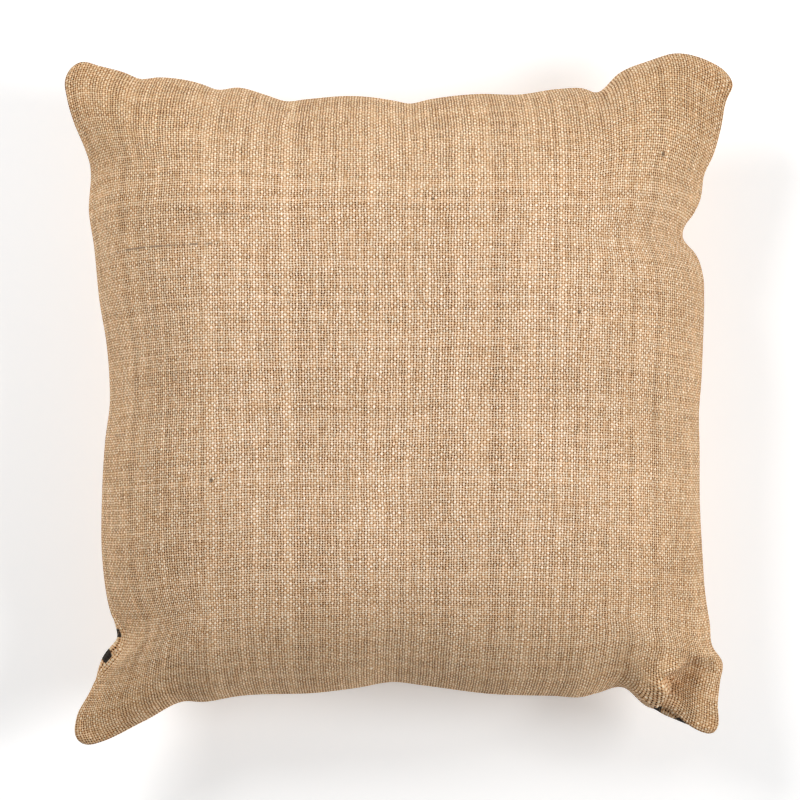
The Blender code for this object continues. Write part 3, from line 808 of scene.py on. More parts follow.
def zipper_tape(name, half):
    """One tape: a thin woven strip with a slight ripple and softly curled edges."""
    x = np.linspace(ZIP_LEFT - TAPE_PAST, ZIP_RIGHT + TAPE_PAST, 161)
    share = np.linspace(0, 1, 13)
    x, share = np.meshgrid(x, share, indexing="ij")
    depth = TAPE_DEPTH + 0.05 * MM + share * (TAPE_WIDTH - 0.1 * MM)
    ripple = 0.05 * MM * np.sin(x / (7 * MM)) * np.sin(math.pi * share)
    thick = TAPE_THICK * (0.62 + 0.38 * np.sin(math.pi * np.clip(share * 6, 0, 0.5)))
    middle = half * (TAPE_LEVEL + TAPE_THICK / 2) + ripple
    outer = zipper_place(x, depth, middle + half * thick * 0.38)
    inner = zipper_place(x, depth, middle - half * thick * 0.38)
    return slab(name, outer, inner, x / (130 * MM), share * 2 - 1, half < 0)


def zipper_coil(name, half):
    """One row of teeth: a nylon filament wound into a flattened coil, on its core cord."""
    length = ZIP_RIGHT - 4 * MM - ZIP_LEFT
    turns = int(length / COIL_PITCH)
    level = half * (COIL_LEVEL + COIL_HEIGHT / 2)
    x = np.linspace(ZIP_LEFT, ZIP_LEFT + turns * COIL_PITCH, 9)
    middle = zipper_place(x, COIL_DEPTH + COIL_WIDTH / 2, level)
    middle[:, 0] += FILAMENT
    across = np.tile([0.0, 1.0, 0.0], (9, 1))
    tubes = Tubes()
    wide, high = COIL_WIDTH / 2 - FILAMENT, COIL_HEIGHT / 2 - FILAMENT
    path, out = wound(middle, across, wide, high, turns - 0.5, 12)
    tubes.add(path, out, FILAMENT, 6)
    core = middle.copy()
    core[:, 1] += CORE_BACK
    tubes.add(core, UP, CORE_RADIUS, 6)
    return tubes.made(name)


def bar_tack(name, x):
    """Close stitches wound across both tapes' ends."""
    x = np.linspace(x - TACK_HALF_LENGTH, x + TACK_HALF_LENGTH, 3)
    middle = zipper_place(x, TACK_DEPTH, 0)
    across = np.tile([0.0, 1.0, 0.0], (3, 1))
    path, out = wound(middle, across, TACK_HALF_WIDTH, TACK_LEVEL, TACK_TURNS, 16)
    tubes = Tubes()
    tubes.add(path, out, THREAD_RADIUS)
    return tubes.made(name)


def machined(name, node, round_edge):
    """A metal CAD node's shape with its edges rounded."""
    shape = bmesh.new()
    shape.from_mesh(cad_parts[node].data)
    bmesh.ops.remove_doubles(shape, verts=shape.verts, dist=1e-6)
    bmesh.ops.dissolve_limit(shape, angle_limit=math.radians(1), verts=shape.verts, edges=shape.edges)
    sharp = [edge for edge in shape.edges if edge.calc_face_angle(0) > math.radians(25)]
    bmesh.ops.bevel(
        shape, geom=sharp, offset=round_edge, segments=3, profile=0.5, affect="EDGES", clamp_overlap=True
    )
    mesh = bpy.data.meshes.new(name)
    shape.to_mesh(mesh)
    shape.free()
    mesh.shade_smooth()
    mesh.set_sharp_from_angle(angle=math.radians(35))
    return placed(name, mesh)


# ---- Materials ----


class Shader:
    """A material with a Principled BSDF, and shorthand for the nodes that drive it."""

    def __init__(self, name, roughness=0.8, metallic=0.0, specular=0.5, sheen=0.0, sheen_roughness=0.5):
        self.material = bpy.data.materials.new(name)
        self.material.use_nodes = True
        self.tree = self.material.node_tree
        self.principled = self.tree.nodes["Principled BSDF"]
        self.principled.inputs["Roughness"].default_value = roughness
        self.principled.inputs["Metallic"].default_value = metallic
        self.principled.inputs["Specular IOR Level"].default_value = specular
        self.principled.inputs["Sheen Weight"].default_value = sheen
        self.principled.inputs["Sheen Roughness"].default_value = sheen_roughness

    def node(self, kind, **settings):
        made = self.tree.nodes.new(kind)
        for key, value in settings.items():
            setattr(made, key, value)
        return made

    def put(self, socket, value):
        """Links a socket to another, or sets it to a number or a colour."""
        if isinstance(value, bpy.types.NodeSocket):
            self.tree.links.new(value, socket)
        elif value is not None:
            socket.default_value = value

    def math(self, operation, a, b=None, c=None, clamp=False):
        made = self.node("ShaderNodeMath", operation=operation, use_clamp=clamp)
        for socket, value in zip(made.inputs, (a, b, c)):
            self.put(socket, value)
        return made.outputs[0]

    def step(self, value, low, high, to_low=0.0, to_high=1.0):
        made = self.node("ShaderNodeMapRange", interpolation_type="SMOOTHSTEP")
        names = ("Value", "From Min", "From Max", "To Min", "To Max")
        for name, x in zip(names, (value, low, high, to_low, to_high)):
            self.put(made.inputs[name], x)
        return made.outputs["Result"]

    def mix(self, share, a, b, blend="MIX"):
        made = self.node("ShaderNodeMix", data_type="RGBA", blend_type=blend)
        self.put(made.inputs["Factor"], share)
        for socket, value in ((made.inputs[6], a), (made.inputs[7], b)):
            self.put(socket, (*value, 1) if isinstance(value, tuple) else value)
        return made.outputs[2]

    def tinted(self, look, tint):
        return self.mix(1.0, look, tint, "MULTIPLY")

    def vector(self, x=0.0, y=0.0, z=0.0):
        made = self.node("ShaderNodeCombineXYZ")
        for socket, value in zip(made.inputs, (x, y, z)):
            self.put(socket, value)
        return made.outputs[0]

    def noise(self, at, scale, detail=2.0, roughness=0.5, colour=False, dimensions="3D"):
        made = self.node("ShaderNodeTexNoise", noise_dimensions=dimensions)
        self.put(made.inputs["Vector"], at)
        made.inputs["Scale"].default_value = scale
        made.inputs["Detail"].default_value = detail
        made.inputs["Roughness"].default_value = roughness
        return made.outputs["Color" if colour else "Fac"]

    def random(self, value, seed=0.0):
        """A random number from 0 to 1 for each whole number."""
        made = self.node("ShaderNodeTexWhiteNoise", noise_dimensions="1D")
        self.put(made.inputs["W"], self.math("ADD", value, seed))
        return made.outputs["Value"]

    def ramp(self, value, stops):
        made = self.node("ShaderNodeValToRGB")
        ramp = made.color_ramp
        while len(ramp.elements) < len(stops):
            ramp.elements.new(0.5)
        for element, (at, colour) in zip(ramp.elements, stops):
            element.position, element.color = at, (*colour, 1)
        self.put(made.inputs[0], value)
        return made.outputs[0]

    def split(self, vector):
        made = self.node("ShaderNodeSeparateXYZ")
        self.put(made.inputs[0], vector)
        return made.outputs[0], made.outputs[1], made.outputs[2]

    def uv(self):
        return self.split(self.node("ShaderNodeUVMap", uv_map="weave").outputs[0])

    def place(self):
        return self.node("ShaderNodeTexCoord").outputs["Object"]

    def bump(self, height, distance, strength=1.0):
        made = self.node("ShaderNodeBump")
        made.inputs["Strength"].default_value = strength
        made.inputs["Distance"].default_value = distance
        self.put(made.inputs["Height"], height)
        self.put(self.principled.inputs["Normal"], made.outputs[0])

    def colour(self, value):
        self.put(self.principled.inputs["Base Color"], (*value, 1) if isinstance(value, tuple) else value)

    def roughness(self, value):
        self.put(self.principled.inputs["Roughness"], value)


def thread_run(sh, number, along, across_share, width, vary):
    """One thread of a weave: its roundness here, 0 beside it, and its slow change along its run."""
    slow = sh.noise(sh.vector(sh.math("MULTIPLY", number, 7.31), sh.math("MULTIPLY", along, 0.09)), 1.0, 3.0)
    wide = sh.math("MULTIPLY_ADD", sh.random(number, 3.7), vary, width - vary / 2)
    wide = sh.math("ADD", wide, sh.math("MULTIPLY_ADD", slow, 2.2 * vary, -1.1 * vary))
    off = sh.math("SUBTRACT", across_share, 0.5)
    share = sh.math("DIVIDE", sh.math("MULTIPLY", off, 2.0), wide)
    return sh.math("SQRT", sh.math("SUBTRACT", 1.0, sh.math("MULTIPLY", share, share), clamp=True)), slow


WEAVE_LOW, WEAVE_HIGH = -1.1, 1.25  # the height in a weave's gaps, and on the crests of its threads


def plain_weave(sh, u, v, widths=(0.71, 0.59), vary=0.28):
    """A plain weave, where u and v count the threads across and up.

    Returns the height of the top thread, 1 where the warp is on top, a random number for the crossing,
    and for the warp and for the weft (its number, its slow change).
    """
    i, j = sh.math("FLOOR", u), sh.math("FLOOR", v)
    sets = ((u, v, i, 1, widths[0]), (v, u, j, -1, widths[1]))
    heights, threads = [], []
    for across, along, number, sign, width in sets:
        own = sh.math("ADD", number, 0.0 if sign > 0 else 517.0)
        round_top, slow = thread_run(sh, own, along, sh.math("FRACT", across), width, vary)
        turn = sh.math("MULTIPLY", sh.math("ADD", sh.math("SUBTRACT", along, 0.5), number), math.pi)
        crimp = sh.math("MULTIPLY", sh.math("COSINE", turn), 0.5 * sign)
        bare = sh.math("MULTIPLY", sh.math("LESS_THAN", round_top, 0.02), 3.0)
        heights.append(sh.math("SUBTRACT", sh.math("MULTIPLY_ADD", round_top, 0.75, crimp), bare))
        threads.append((own, slow))
    top = sh.math("MAXIMUM", sh.math("MAXIMUM", *heights), WEAVE_LOW)
    crossing = sh.node("ShaderNodeTexWhiteNoise", noise_dimensions="2D")
    sh.put(crossing.inputs["Vector"], sh.vector(i, j))
    return top, sh.math("GREATER_THAN", *heights), crossing.outputs["Value"], *threads


# The jute's colour from the bottom of a gap to the crest of a thread, with painted shade in the gaps and
# on the threads' flanks and painted highlights on the crests, and how single threads differ from it.
JUTE_SHADE_BY_HEIGHT = [
    (0.0, (0.024, 0.008, 0.002)),
    (0.28, (0.138, 0.044, 0.011)),
    (0.52, (0.485, 0.210, 0.076)),
    (0.76, (0.905, 0.597, 0.345)),
    (1.0, (1.0, 0.945, 0.81)),
]
JUTE_BY_THREAD = [(0.12, (0.76, 0.70, 0.62)), (0.45, (0.96, 0.95, 0.93)), (0.85, (1.16, 1.18, 1.22))]
JUTE_BY_FIBRE = [(0.30, (0.70, 0.64, 0.57)), (0.50, (1.0, 0.99, 0.98)), (0.68, (1.12, 1.14, 1.17))]
JUTE_BY_CROSSING = [
    (0.0, (0.855, 0.78, 0.68)),
    (0.35, (1.03, 0.975, 0.935)),
    (0.65, (0.96, 1.005, 1.03)),
    (1.0, (1.08, 1.10, 1.16)),
]
WARP_TINT, WEFT_TINT = (1.08, 1.09, 1.10), (0.89, 0.815, 0.74)
INK = (0.013, 0.014, 0.015)

# The slow changes of the whole cloth, and a painted shade that darkens it towards its edges and a painted
# highlight that lightens its middle, by the distance from its middle times PAINTED_EDGE_SHADE_SCALE.
CLOUDS = [(0.25, (0.92, 0.91, 0.89)), (0.75, (1.03, 1.03, 1.03))]
PAINTED_EDGE_SHADE_SCALE = 1.68
PAINTED_EDGE_SHADE = [(0.38, (1.075, 1.075, 1.095)), (0.84, (0.92, 0.855, 0.755)), (1.0, (0.86, 0.775, 0.665))]

# Flaws of the plain face, at shares of the flat cloth. Streaks: (up, start, end, how dark), each in one
# weft thread. Knots: (across, up, radius).
STREAKS = [(0.714, 0.052, 0.232, 0.75), (0.757, 0.203, 0.275, 0.5), (0.455, 0.03, 0.06, 0.4)]
DARK_KNOTS = [(0.226, 0.380, 0.0040), (0.892, 0.847, 0.0042), (0.545, 0.782, 0.0032), (0.755, 0.618, 0.0034)]
LIGHT_KNOTS = [(0.376, 0.233, 0.0042), (0.460, 0.055, 0.0036)]
STREAK_COLOUR, KNOT_COLOURS = (0.30, 0.21, 0.14), ((0.13, 0.085, 0.05), (1.0, 0.86, 0.68))


def twisted(sh, across, along):
    """From 0 to 1, the fibres of a loosely twisted thread: fine streaks at a slant to its run."""
    slant = sh.math("MULTIPLY_ADD", along, 2.6, sh.math("MULTIPLY", across, 7.0))
    return sh.noise(sh.vector(slant, sh.math("MULTIPLY", along, 0.9)), 1.0, 3.0, 0.65)


def flecks(sh, own, along, seed):
    """Rare short stretches of a thread: (1 where dark, 1 where light)."""
    cell = sh.math("FLOOR", sh.math("MULTIPLY_ADD", along, 0.21, sh.math("MULTIPLY", own, 0.37)))
    made = sh.node("ShaderNodeTexWhiteNoise", noise_dimensions="2D")
    sh.put(made.inputs["Vector"], sh.vector(cell, sh.math("ADD", own, seed)))
    chance = made.outputs["Value"]
    return sh.math("GREATER_THAN", chance, 0.997), sh.math("LESS_THAN", chance, 0.006)


def thread_tone(sh, thread, along):
    """The tint of a thread here: its own tone, slow changes, fine fibres and rare flecks."""
    own, slow = thread
    fibre = sh.noise(sh.vector(sh.math("MULTIPLY", own, 3.1), sh.math("MULTIPLY", along, 0.8)), 1.0, 2.0)
    mixed = sh.math("MULTIPLY_ADD", sh.random(own, 11.3), 0.26, sh.math("MULTIPLY_ADD", slow, 0.5, -0.10))
    mixed = sh.math("ADD", mixed, sh.math("MULTIPLY_ADD", fibre, 0.7, -0.20))
    tone = sh.ramp(mixed, JUTE_BY_THREAD)
    dark, light = flecks(sh, own, along, 5.0)
    tone = sh.mix(sh.math("MULTIPLY", dark, 0.6), tone, (0.50, 0.42, 0.34))
    return sh.mix(sh.math("MULTIPLY", light, 0.5), tone, (1.25, 1.28, 1.32))


def disc(sh, x, y, across, up, radius):
    """1 within a soft-edged disc."""
    made = sh.node("ShaderNodeVectorMath", operation="DISTANCE")
    sh.put(made.inputs[0], sh.vector(x, y))
    made.inputs[1].default_value = (across, up, 0)
    return sh.step(made.outputs["Value"], 0.45 * radius, radius, 1.0, 0.0)


def with_flaws(sh, look, x, y):
    """The plain face's streaks and knots, over its look."""
    for up, start, end, dark in STREAKS:
        band = sh.step(sh.math("ABSOLUTE", sh.math("SUBTRACT", y, up)), 0.0010, 0.0021, 1.0, 0.0)
        band = sh.math("MULTIPLY", band, sh.math("GREATER_THAN", x, start))
        band = sh.math("MULTIPLY", band, sh.math("LESS_THAN", x, end))
        broken = sh.step(sh.noise(sh.vector(x, up), 90.0, 2.0), 0.38, 0.52)
        band = sh.math("MULTIPLY", sh.math("MULTIPLY", band, broken), dark)
        look = sh.mix(band, look, STREAK_COLOUR)
    for knots, tint in zip((DARK_KNOTS, LIGHT_KNOTS), KNOT_COLOURS):
        for across, up, radius in knots:
            look = sh.mix(sh.math("MULTIPLY", disc(sh, x, y, across, up, radius), 0.8), look, tint)
    return look


def burlap(name, flaws=None, ink=None):
    """Coarse plain-woven jute: uneven threads, painted shade in the gaps between them and painted highlights
    on their crests, slubs, and printed ink if asked.
    """
    sh = Shader(name, roughness=0.8, specular=0.15, sheen=0.04, sheen_roughness=0.5)
    x, y, _ = sh.uv()
    at = sh.vector(x, y)
    drift_x, drift_y, _ = sh.split(sh.noise(at, 4.0, 2.0, colour=True))
    jitter_x, jitter_y, _ = sh.split(sh.noise(at, 120.0, 1.0, colour=True))
    drift_x = sh.math("MULTIPLY_ADD", drift_x, 2.4, sh.math("MULTIPLY", jitter_x, 0.7))
    drift_y = sh.math("MULTIPLY_ADD", drift_y, 2.4, sh.math("MULTIPLY", jitter_y, 0.7))
    u = sh.math("MULTIPLY_ADD", x, WARPS, drift_x)
    v = sh.math("MULTIPLY_ADD", y, WEFTS, drift_y)
    top, warp_on_top, crossing, warp, weft = plain_weave(sh, u, v)
    rise = WEAVE_HIGH - WEAVE_LOW
    # Painted shade and highlight: the colour is darkest in the weave's gaps and lightest on the threads'
    # crests.
    look = sh.ramp(sh.math("MULTIPLY_ADD", top, 1 / rise, -WEAVE_LOW / rise), JUTE_SHADE_BY_HEIGHT)
    weft_tone = sh.tinted(thread_tone(sh, weft, u), WEFT_TINT)
    warp_tone = sh.tinted(thread_tone(sh, warp, v), WARP_TINT)
    look = sh.tinted(look, sh.mix(warp_on_top, weft_tone, warp_tone))
    look = sh.tinted(look, sh.ramp(crossing, JUTE_BY_CROSSING))
    warp_fibres, weft_fibres = twisted(sh, u, v), twisted(sh, v, u)
    fibres = sh.math("SUBTRACT", warp_fibres, weft_fibres)
    fibres = sh.math("MULTIPLY_ADD", warp_on_top, fibres, weft_fibres)
    look = sh.tinted(look, sh.ramp(fibres, JUTE_BY_FIBRE))
    look = sh.tinted(look, sh.ramp(sh.noise(at, 5.0, 3.0), CLOUDS))
    # Painted shade and highlight: the cloth is painted darker and warmer towards its edges and lighter in its
    # middle.
    off_x, off_y = (sh.math("ABSOLUTE", sh.math("SUBTRACT", share, 0.5)) for share in (x, y))
    off = sh.math("POWER", sh.math("ADD", sh.math("POWER", off_x, 4.0), sh.math("POWER", off_y, 4.0)), 0.25)
    look = sh.tinted(look, sh.ramp(sh.math("MULTIPLY", off, PAINTED_EDGE_SHADE_SCALE), PAINTED_EDGE_SHADE))
    if flaws is not None:
        look = flaws(sh, look, x, y)
    if ink is not None:
        covered = sh.math("MULTIPLY", ink(sh, x, y), sh.step(top, -0.9, -0.2, 0.5, 0.97))
        worn = sh.step(sh.noise(at, 160.0, 2.0), 0.30, 0.42, 0.75, 1.0)
        look = sh.mix(sh.math("MULTIPLY", covered, worn), look, INK)
    sh.colour(look)
    sh.bump(sh.math("MULTIPLY_ADD", fibres, 0.55, top), 0.35 * MM, 0.9)
    sh.roughness(sh.step(top, -0.4, 1.2, 0.95, 0.68))
    return sh.material


def twig(sh, along, across, period, reach):
    """1 on a twig: a wavy stem along the line where across is 0, with leaves on both sides of it."""
    wave = sh.math("SINE", sh.math("MULTIPLY", along, 2 * math.pi / period))
    stem = sh.math("LESS_THAN", sh.math("ABSOLUTE", sh.math("MULTIPLY_ADD", wave, 0.5, across)), 0.6)
    side = sh.math("SIGN", across)
    cell = sh.math("DIVIDE", sh.math("MULTIPLY_ADD", side, period / 4, along), period)
    cell = sh.math("MULTIPLY", sh.math("SUBTRACT", sh.math("FRACT", cell), 0.5), period)
    height = sh.math("ABSOLUTE", across)
    c, s = math.cos(math.radians(50)), math.sin(math.radians(50))
    p = sh.math("MULTIPLY_ADD", cell, c, sh.math("MULTIPLY_ADD", height, s, -0.58 * reach))
    q = sh.math("SUBTRACT", sh.math("MULTIPLY", height, c), sh.math("MULTIPLY", cell, s))
    p = sh.math("DIVIDE", p, 0.5 * reach)
    width = sh.math("MULTIPLY", sh.math("SUBTRACT", 1.0, sh.math("MULTIPLY", p, p)), 0.27 * reach)
    leaf = sh.step(sh.math("SUBTRACT", width, sh.math("ABSOLUTE", q)), -0.1, 0.35)
    return sh.math("MAXIMUM", stem, leaf)


def ring_line(sh, x, y, across, radius, width):
    """1 on a circle's line, with x and y in mm from the cloth's middle."""
    made = sh.node("ShaderNodeVectorMath", operation="DISTANCE")
    sh.put(made.inputs[0], sh.vector(x, y))
    made.inputs[1].default_value = (across, 0, 0)
    off = sh.math("ABSOLUTE", sh.math("SUBTRACT", made.outputs["Value"], radius))
    return sh.step(off, width / 2, width / 2 + 0.4, 1.0, 0.0)


def twigs_and_rings(sh, x, y):
    """The print: a border of twigs, a wreath of the same and two linked plain rings."""
    side = FLAT_SIDE / MM
    x, y = (sh.math("MULTIPLY_ADD", share, side, -side / 2) for share in (x, y))
    ax, ay = sh.math("ABSOLUTE", x), sh.math("ABSOLUTE", y)
    inset = sh.math("SUBTRACT", sh.math("MAXIMUM", ax, ay), side / 2 - BORDER_INSET)
    border = twig(sh, sh.math("MINIMUM", ax, ay), inset, BORDER_PERIOD, BORDER_REACH)
    distance = sh.node("ShaderNodeVectorMath", operation="LENGTH")
    sh.put(distance.inputs[0], sh.vector(x, y))
    turn = sh.math("MULTIPLY", sh.math("ARCTAN2", y, x), WREATH_RADIUS)
    out = sh.math("SUBTRACT", distance.outputs["Value"], WREATH_RADIUS)
    wreath = twig(sh, turn, out, 2 * math.pi * WREATH_RADIUS / WREATH_LEAVES, WREATH_REACH)
    rings = (ring_line(sh, x, y, centre, RING_RADIUS, RING_LINE) for centre in RING_CENTRES)
    rings = sh.math("MAXIMUM", *rings)
    return sh.math("MAXIMUM", sh.math("MAXIMUM", border, wreath), rings)


def sewing_thread(name, tint):
    """Spun polyester: three plies twisted together, slightly fuzzy."""
    sh = Shader(name, roughness=0.62, specular=0.4, sheen=0.3, sheen_roughness=0.4)
    run, turn, _ = sh.uv()
    ply = sh.math("MULTIPLY_ADD", run, 900.0, sh.math("MULTIPLY", turn, 3.0))
    ply = sh.math("SINE", sh.math("MULTIPLY", ply, 2 * math.pi))
    fuzz = sh.noise(sh.place(), 3500.0, 2.0)
    shade = sh.math("MULTIPLY_ADD", ply, 0.25, sh.math("MULTIPLY_ADD", fuzz, 0.6, 0.2))
    dark, light = (tuple(part * c for c in tint) for part in (0.55, 1.15))
    sh.colour(sh.ramp(shade, [(0.1, dark), (0.5, tint), (0.9, light)]))
    sh.bump(shade, 0.06 * MM, 0.8)
    return sh.material


def tape_weave(name):
    """Polyester zipper tape: a narrow herringbone."""
    sh = Shader(name, roughness=0.7, specular=0.35, sheen=0.25, sheen_roughness=0.4)
    x, y, _ = sh.split(sh.place())
    band = sh.math("MULTIPLY", sh.math("FLOOR", sh.math("MULTIPLY", y, 1 / (1.6 * MM))), math.pi)
    lean = sh.math("MULTIPLY", sh.math("COSINE", band), y)
    twill = sh.math("SINE", sh.math("MULTIPLY", sh.math("ADD", x, lean), 2 * math.pi / (0.8 * MM)))
    yarn = sh.noise(sh.vector(sh.math("MULTIPLY", x, 3.0), y), 1400.0, 2.0)
    shade = sh.math("MULTIPLY_ADD", twill, 0.22, sh.math("MULTIPLY_ADD", yarn, 0.5, 0.25))
    stops = [(0.15, (0.36, 0.28, 0.18)), (0.5, (0.58, 0.48, 0.34)), (0.85, (0.70, 0.60, 0.45))]
    sh.colour(sh.ramp(shade, stops))
    sh.bump(shade, 0.12 * MM, 0.8)
    return sh.material


def nylon(name):
    """Dyed nylon filament with a satin gloss."""
    sh = Shader(name, roughness=0.32, specular=0.5)
    tint = sh.noise(sh.place(), 240.0, 3.0)
    sh.colour(sh.ramp(tint, [(0.3, (0.52, 0.42, 0.29)), (0.7, (0.72, 0.61, 0.46))]))
    scuff = sh.noise(sh.place(), 2200.0, 2.0)
    sh.roughness(sh.step(scuff, 0.3, 0.7, 0.25, 0.45))
    sh.bump(scuff, 0.02 * MM, 0.4)
    return sh.material


def antique_brass(name):
    """Antiqued brass: brown tarnish in patches, brighter where it has been rubbed, fine scratches."""
    sh = Shader(name, roughness=0.36, metallic=1.0)
    patches = sh.noise(sh.place(), 420.0, 4.0, 0.6)
    x, y, z = sh.split(sh.place())
    scratch = sh.noise(sh.vector(sh.math("MULTIPLY", x, 0.2), y, z), 5200.0, 2.0)
    tone = sh.math("MULTIPLY_ADD", scratch, 0.3, sh.math("MULTIPLY", patches, 0.8))
    stops = [(0.38, (0.13, 0.085, 0.04)), (0.55, (0.40, 0.29, 0.13)), (0.72, (0.66, 0.50, 0.25))]
    sh.colour(sh.ramp(tone, stops))
    sh.roughness(sh.step(tone, 0.4, 0.7, 0.52, 0.26))
    sh.bump(tone, 0.03 * MM, 0.5)
    return sh.material


def cotton(name):
    """Bleached plain-woven cotton, a little creased."""
    sh = Shader(name, roughness=0.85, specular=0.2, sheen=0.2, sheen_roughness=0.5)
    x, y, _ = sh.uv()
    u, v = (sh.math("MULTIPLY", share, 780.0) for share in (x, y))
    top, *_ = plain_weave(sh, u, v, (0.97, 0.95), 0.06)
    creased = sh.noise(sh.vector(x, y), 14.0, 4.0, 0.65)
    # Painted shade: the weave's gaps are painted darker, and so are the low places of the creases.
    look = sh.ramp(top, [(0.0, (0.55, 0.54, 0.50)), (0.6, (0.82, 0.81, 0.78)), (1.0, (0.88, 0.87, 0.84))])
    tone = sh.ramp(creased, [(0.3, (0.93, 0.93, 0.92)), (0.6, (1.0, 1.0, 1.0))])
    sh.colour(sh.tinted(look, tone))
    sh.bump(sh.math("MULTIPLY_ADD", creased, 6.0, top), 0.12 * MM, 0.7)
    return sh.material


def loose_fibre(name):
    """Carded polyester fibre: matted white strands."""
    sh = Shader(name, roughness=0.95, specular=0.15, sheen=0.5, sheen_roughness=0.7)
    warp = sh.noise(sh.place(), 60.0, 3.0, colour=True)
    bent = sh.node("ShaderNodeVectorMath", operation="MULTIPLY_ADD")
    sh.put(bent.inputs[0], warp)
    bent.inputs[1].default_value = (0.02, 0.02, 0.02)
    sh.put(bent.inputs[2], sh.place())
    strand = sh.noise(bent.outputs[0], 900.0, 5.0, 0.7)
    stops = [(0.3, (0.66, 0.67, 0.68)), (0.55, (0.86, 0.86, 0.87)), (0.75, (0.95, 0.95, 0.95))]
    sh.colour(sh.ramp(strand, stops))
    sh.bump(strand, 1.2 * MM, 0.9)
    return sh.material


def satin(name):
    """A blank woven satin label: fine ribs, and a plain woven line near each end."""
    sh = Shader(name, roughness=0.42, specular=0.5, sheen=0.4, sheen_roughness=0.3)
    x, y, _ = sh.uv()
    rib = sh.math("SINE", sh.math("MULTIPLY", y, 2 * math.pi * 90))
    yarn = sh.noise(sh.vector(x, sh.math("MULTIPLY", y, 30.0)), 12.0, 2.0)
    shade = sh.math("MULTIPLY_ADD", rib, 0.15, sh.math("MULTIPLY_ADD", yarn, 0.5, 0.25))
    look = sh.ramp(shade, [(0.2, (0.74, 0.72, 0.68)), (0.8, (0.92, 0.90, 0.86))])
    line = sh.math("ABSOLUTE", sh.math("SUBTRACT", sh.math("ABSOLUTE", sh.math("SUBTRACT", y, 0.5)), 0.43))
    line = sh.step(line, 0.008, 0.014, 0.7, 0.0)
    sh.colour(sh.mix(line, look, (0.42, 0.38, 0.33)))
    sh.bump(shade, 0.05 * MM, 0.6)
    return sh.material


# ---- The stage ----


WORLD_LIGHT, FLOOR_GLOW = 0.26, 0.24
LIGHTS = {"right": (1.84, 0.0, 1.54), "upper_left": (-1.30, 1.30, 1.54)}
LIGHT_SIZE, LIGHT_POWER = 1.0, 33
# The camera looks straight down: its height over the seam, how much it sees there across, and the place
# in plan that it looks at.
CAMERA_DISTANCE, CAMERA_WIDTH, CAMERA_AIM = 2.6, 528 * MM, (0.33 * MM, -0.66 * MM)


def area_light(name, place, aim, size, power):
    light = bpy.data.lights.new(name, "AREA")
    light.shape = "DISK"
    light.size = size
    light.energy = power
    made = placed(name, light)
    made.location = place
    made.rotation_euler = (Vector(aim) - Vector(place)).to_track_quat("-Z", "Y").to_euler()


def build_stage():
    """A faintly glowing white floor, soft lights from the right and the upper left, and a camera above."""
    floor = bmesh.new()
    bmesh.ops.create_grid(floor, x_segments=8, y_segments=8, size=6)
    mesh = bpy.data.meshes.new("studio_floor")
    floor.to_mesh(mesh)
    floor.free()
    made = placed("studio_floor", mesh)
    made.location.z = -0.2 * MM
    look = Shader("studio_floor", roughness=0.9, specular=0.1)
    grain = look.noise(look.place(), 3.0, 2.0)
    look.colour(look.ramp(grain, [(0.0, (0.93, 0.93, 0.93)), (1.0, (0.96, 0.96, 0.96))]))
    look.principled.inputs["Emission Color"].default_value = (1, 1, 1, 1)
    look.principled.inputs["Emission Strength"].default_value = FLOOR_GLOW
    made.data.materials.append(look.material)

    world = bpy.data.worlds.new("studio")
    world.use_nodes = True
    world.node_tree.nodes["Background"].inputs["Color"].default_value = (1.0, 1.0, 1.0, 1)
    world.node_tree.nodes["Background"].inputs["Strength"].default_value = WORLD_LIGHT
    bpy.context.scene.world = world
    for name, place in LIGHTS.items():
        area_light(name, place, (0, 0, 0.05), LIGHT_SIZE, LIGHT_POWER)

    camera = bpy.data.cameras.new("camera")
    camera.sensor_width = 36
    camera.lens = camera.sensor_width * CAMERA_DISTANCE / CAMERA_WIDTH
    camera.clip_start, camera.clip_end = 0.05, 20
    eye = placed("camera", camera)
    eye.location = SHIFT + Vector((*CAMERA_AIM, SEAM_Z + CAMERA_DISTANCE))
    bpy.context.scene.camera = eye
    bpy.context.scene.view_settings.view_transform = "Standard"


def add(piece, look, body, slot, *nodes, fill=None):
    """Gives a piece its material and its body, and hides the CAD nodes that it stands for. The slot is not
    used.
    """
    piece.data.materials.clear()
    piece.data.materials.append(look)
    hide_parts(*nodes)
    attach(piece, body)


def add_cover():
    """The two burlap panels. Returns them as Cover and Rim, the upper first."""
    covers = []
    faces = (
        ("plain_face", 1, burlap("plain_burlap", flaws=with_flaws), "burlap", "plain_panel"),
        ("printed_face", -1, burlap("print_burlap", ink=twigs_and_rings), "printed_burlap", "printed_panel"),
    )
    for name, half, look, slot, node in faces:
        points, s, t = cover_half(half)
        made, rim = panel(name, points, s, t, half)
        add(made, look, "pillow", slot, node, fill=FILL)
        covers.append(Cover(points, s, t, half))
    return covers, rim


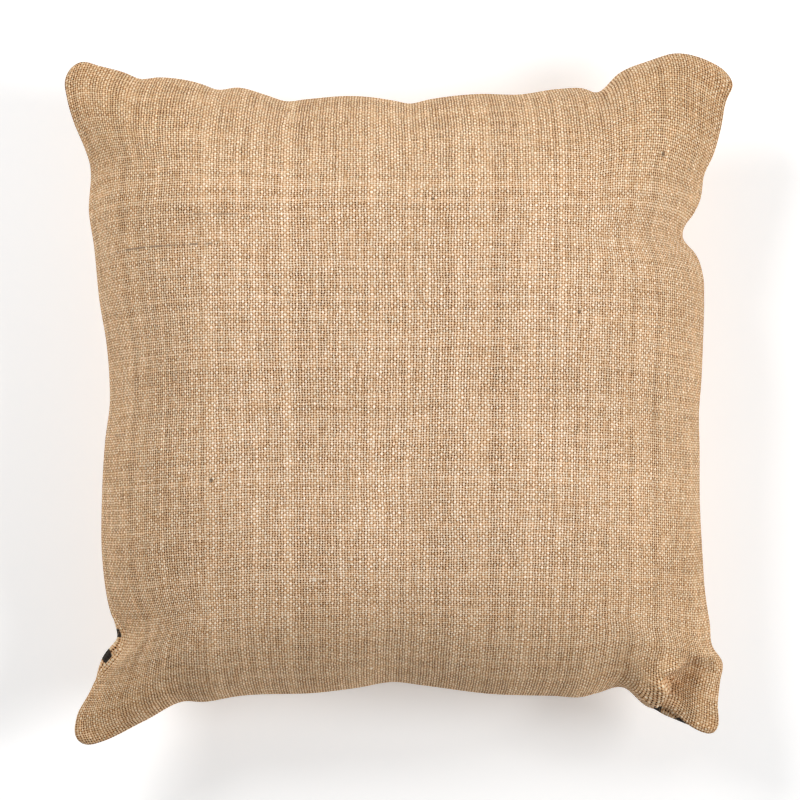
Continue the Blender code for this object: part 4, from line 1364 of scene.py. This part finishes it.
def add_insides(covers):
    white = cotton("insert_cotton")
    for cover, side in zip(covers, ("upper", "lower")):
        shell = insert_shell(f"insert_{side}", cover)
        add(shell, white, "pillow", "insert_cloth", f"insert_{side}_shell", fill=FILL)
    stuffing = filling("fibre_stuffing", covers)
    add(stuffing, loose_fibre("polyester_fibre"), "pillow", "polyester_fibre", "fibre_filling", fill=FILL)
    tag = satin("label_satin")
    for name, places in LABELS.items():
        add(label(name + "_cloth", covers[0], *places), tag, "pillow", "label_satin", name)


def add_stitching(rim):
    natural = sewing_thread("natural_thread", (0.62, 0.47, 0.30))
    seam = lock_stitch("seam_stitches", sewn_path(rim, SEAM_STITCH_INSET), UP)
    add(seam, natural, "pillow", "thread", "seam_thread")
    add(overlock("overlock_stitches", rim), natural, "pillow", "thread", "overlock_edging")
    for side, half in (("upper", 1), ("lower", -1)):
        level = half * (TAPE_LEVEL + TAPE_THICK + MOUTH_LEVEL) / 2
        x = np.array([ZIP_LEFT - TAPE_STITCH_PAST, ZIP_RIGHT + TAPE_STITCH_PAST])
        line = zipper_place(x, TAPE_STITCH_DEPTH, level)
        stitches = lock_stitch(f"tape_stitches_{side}", line, (0, 1, 0))
        add(stitches, natural, "pillow", "thread", f"tape_stitch_{side}")
    for side, x in (("left", ZIP_LEFT - TACK_PAST), ("right", ZIP_RIGHT + TACK_PAST)):
        add(bar_tack(f"tack_{side}", x), natural, "pillow", "thread", f"bar_tack_{side}")


def add_zipper():
    tape, coil, brass = tape_weave("zipper_tape_weave"), nylon("zipper_nylon"), antique_brass("antique_brass")
    for side, half in (("upper", 1), ("lower", -1)):
        add(zipper_tape(f"tape_{side}", half), tape, "pillow", "zipper_tape", f"zipper_tape_{side}")
        add(zipper_coil(f"coil_{side}", half), coil, "pillow", "zipper_coil", f"zipper_coil_{side}")
        stop = machined(f"top_clamp_{side}", f"top_stop_{side}", CLAMP_ROUNDING)
        add(stop, brass, "pillow", "antique_brass", f"top_stop_{side}")
    for name, node, body in (
        ("bottom_clamp", "bottom_stop", "pillow"),
        ("slider_body", "zipper_slider", "slider"),
        ("pull_tab_plate", "zipper_pull", "pull_tab"),
    ):
        add(machined(name, node, SLIDER_ROUNDING), brass, body, "antique_brass", node)


def main():
    covers, rim = add_cover()
    add_insides(covers)
    add_stitching(rim)
    add_zipper()
    build_stage()


main()
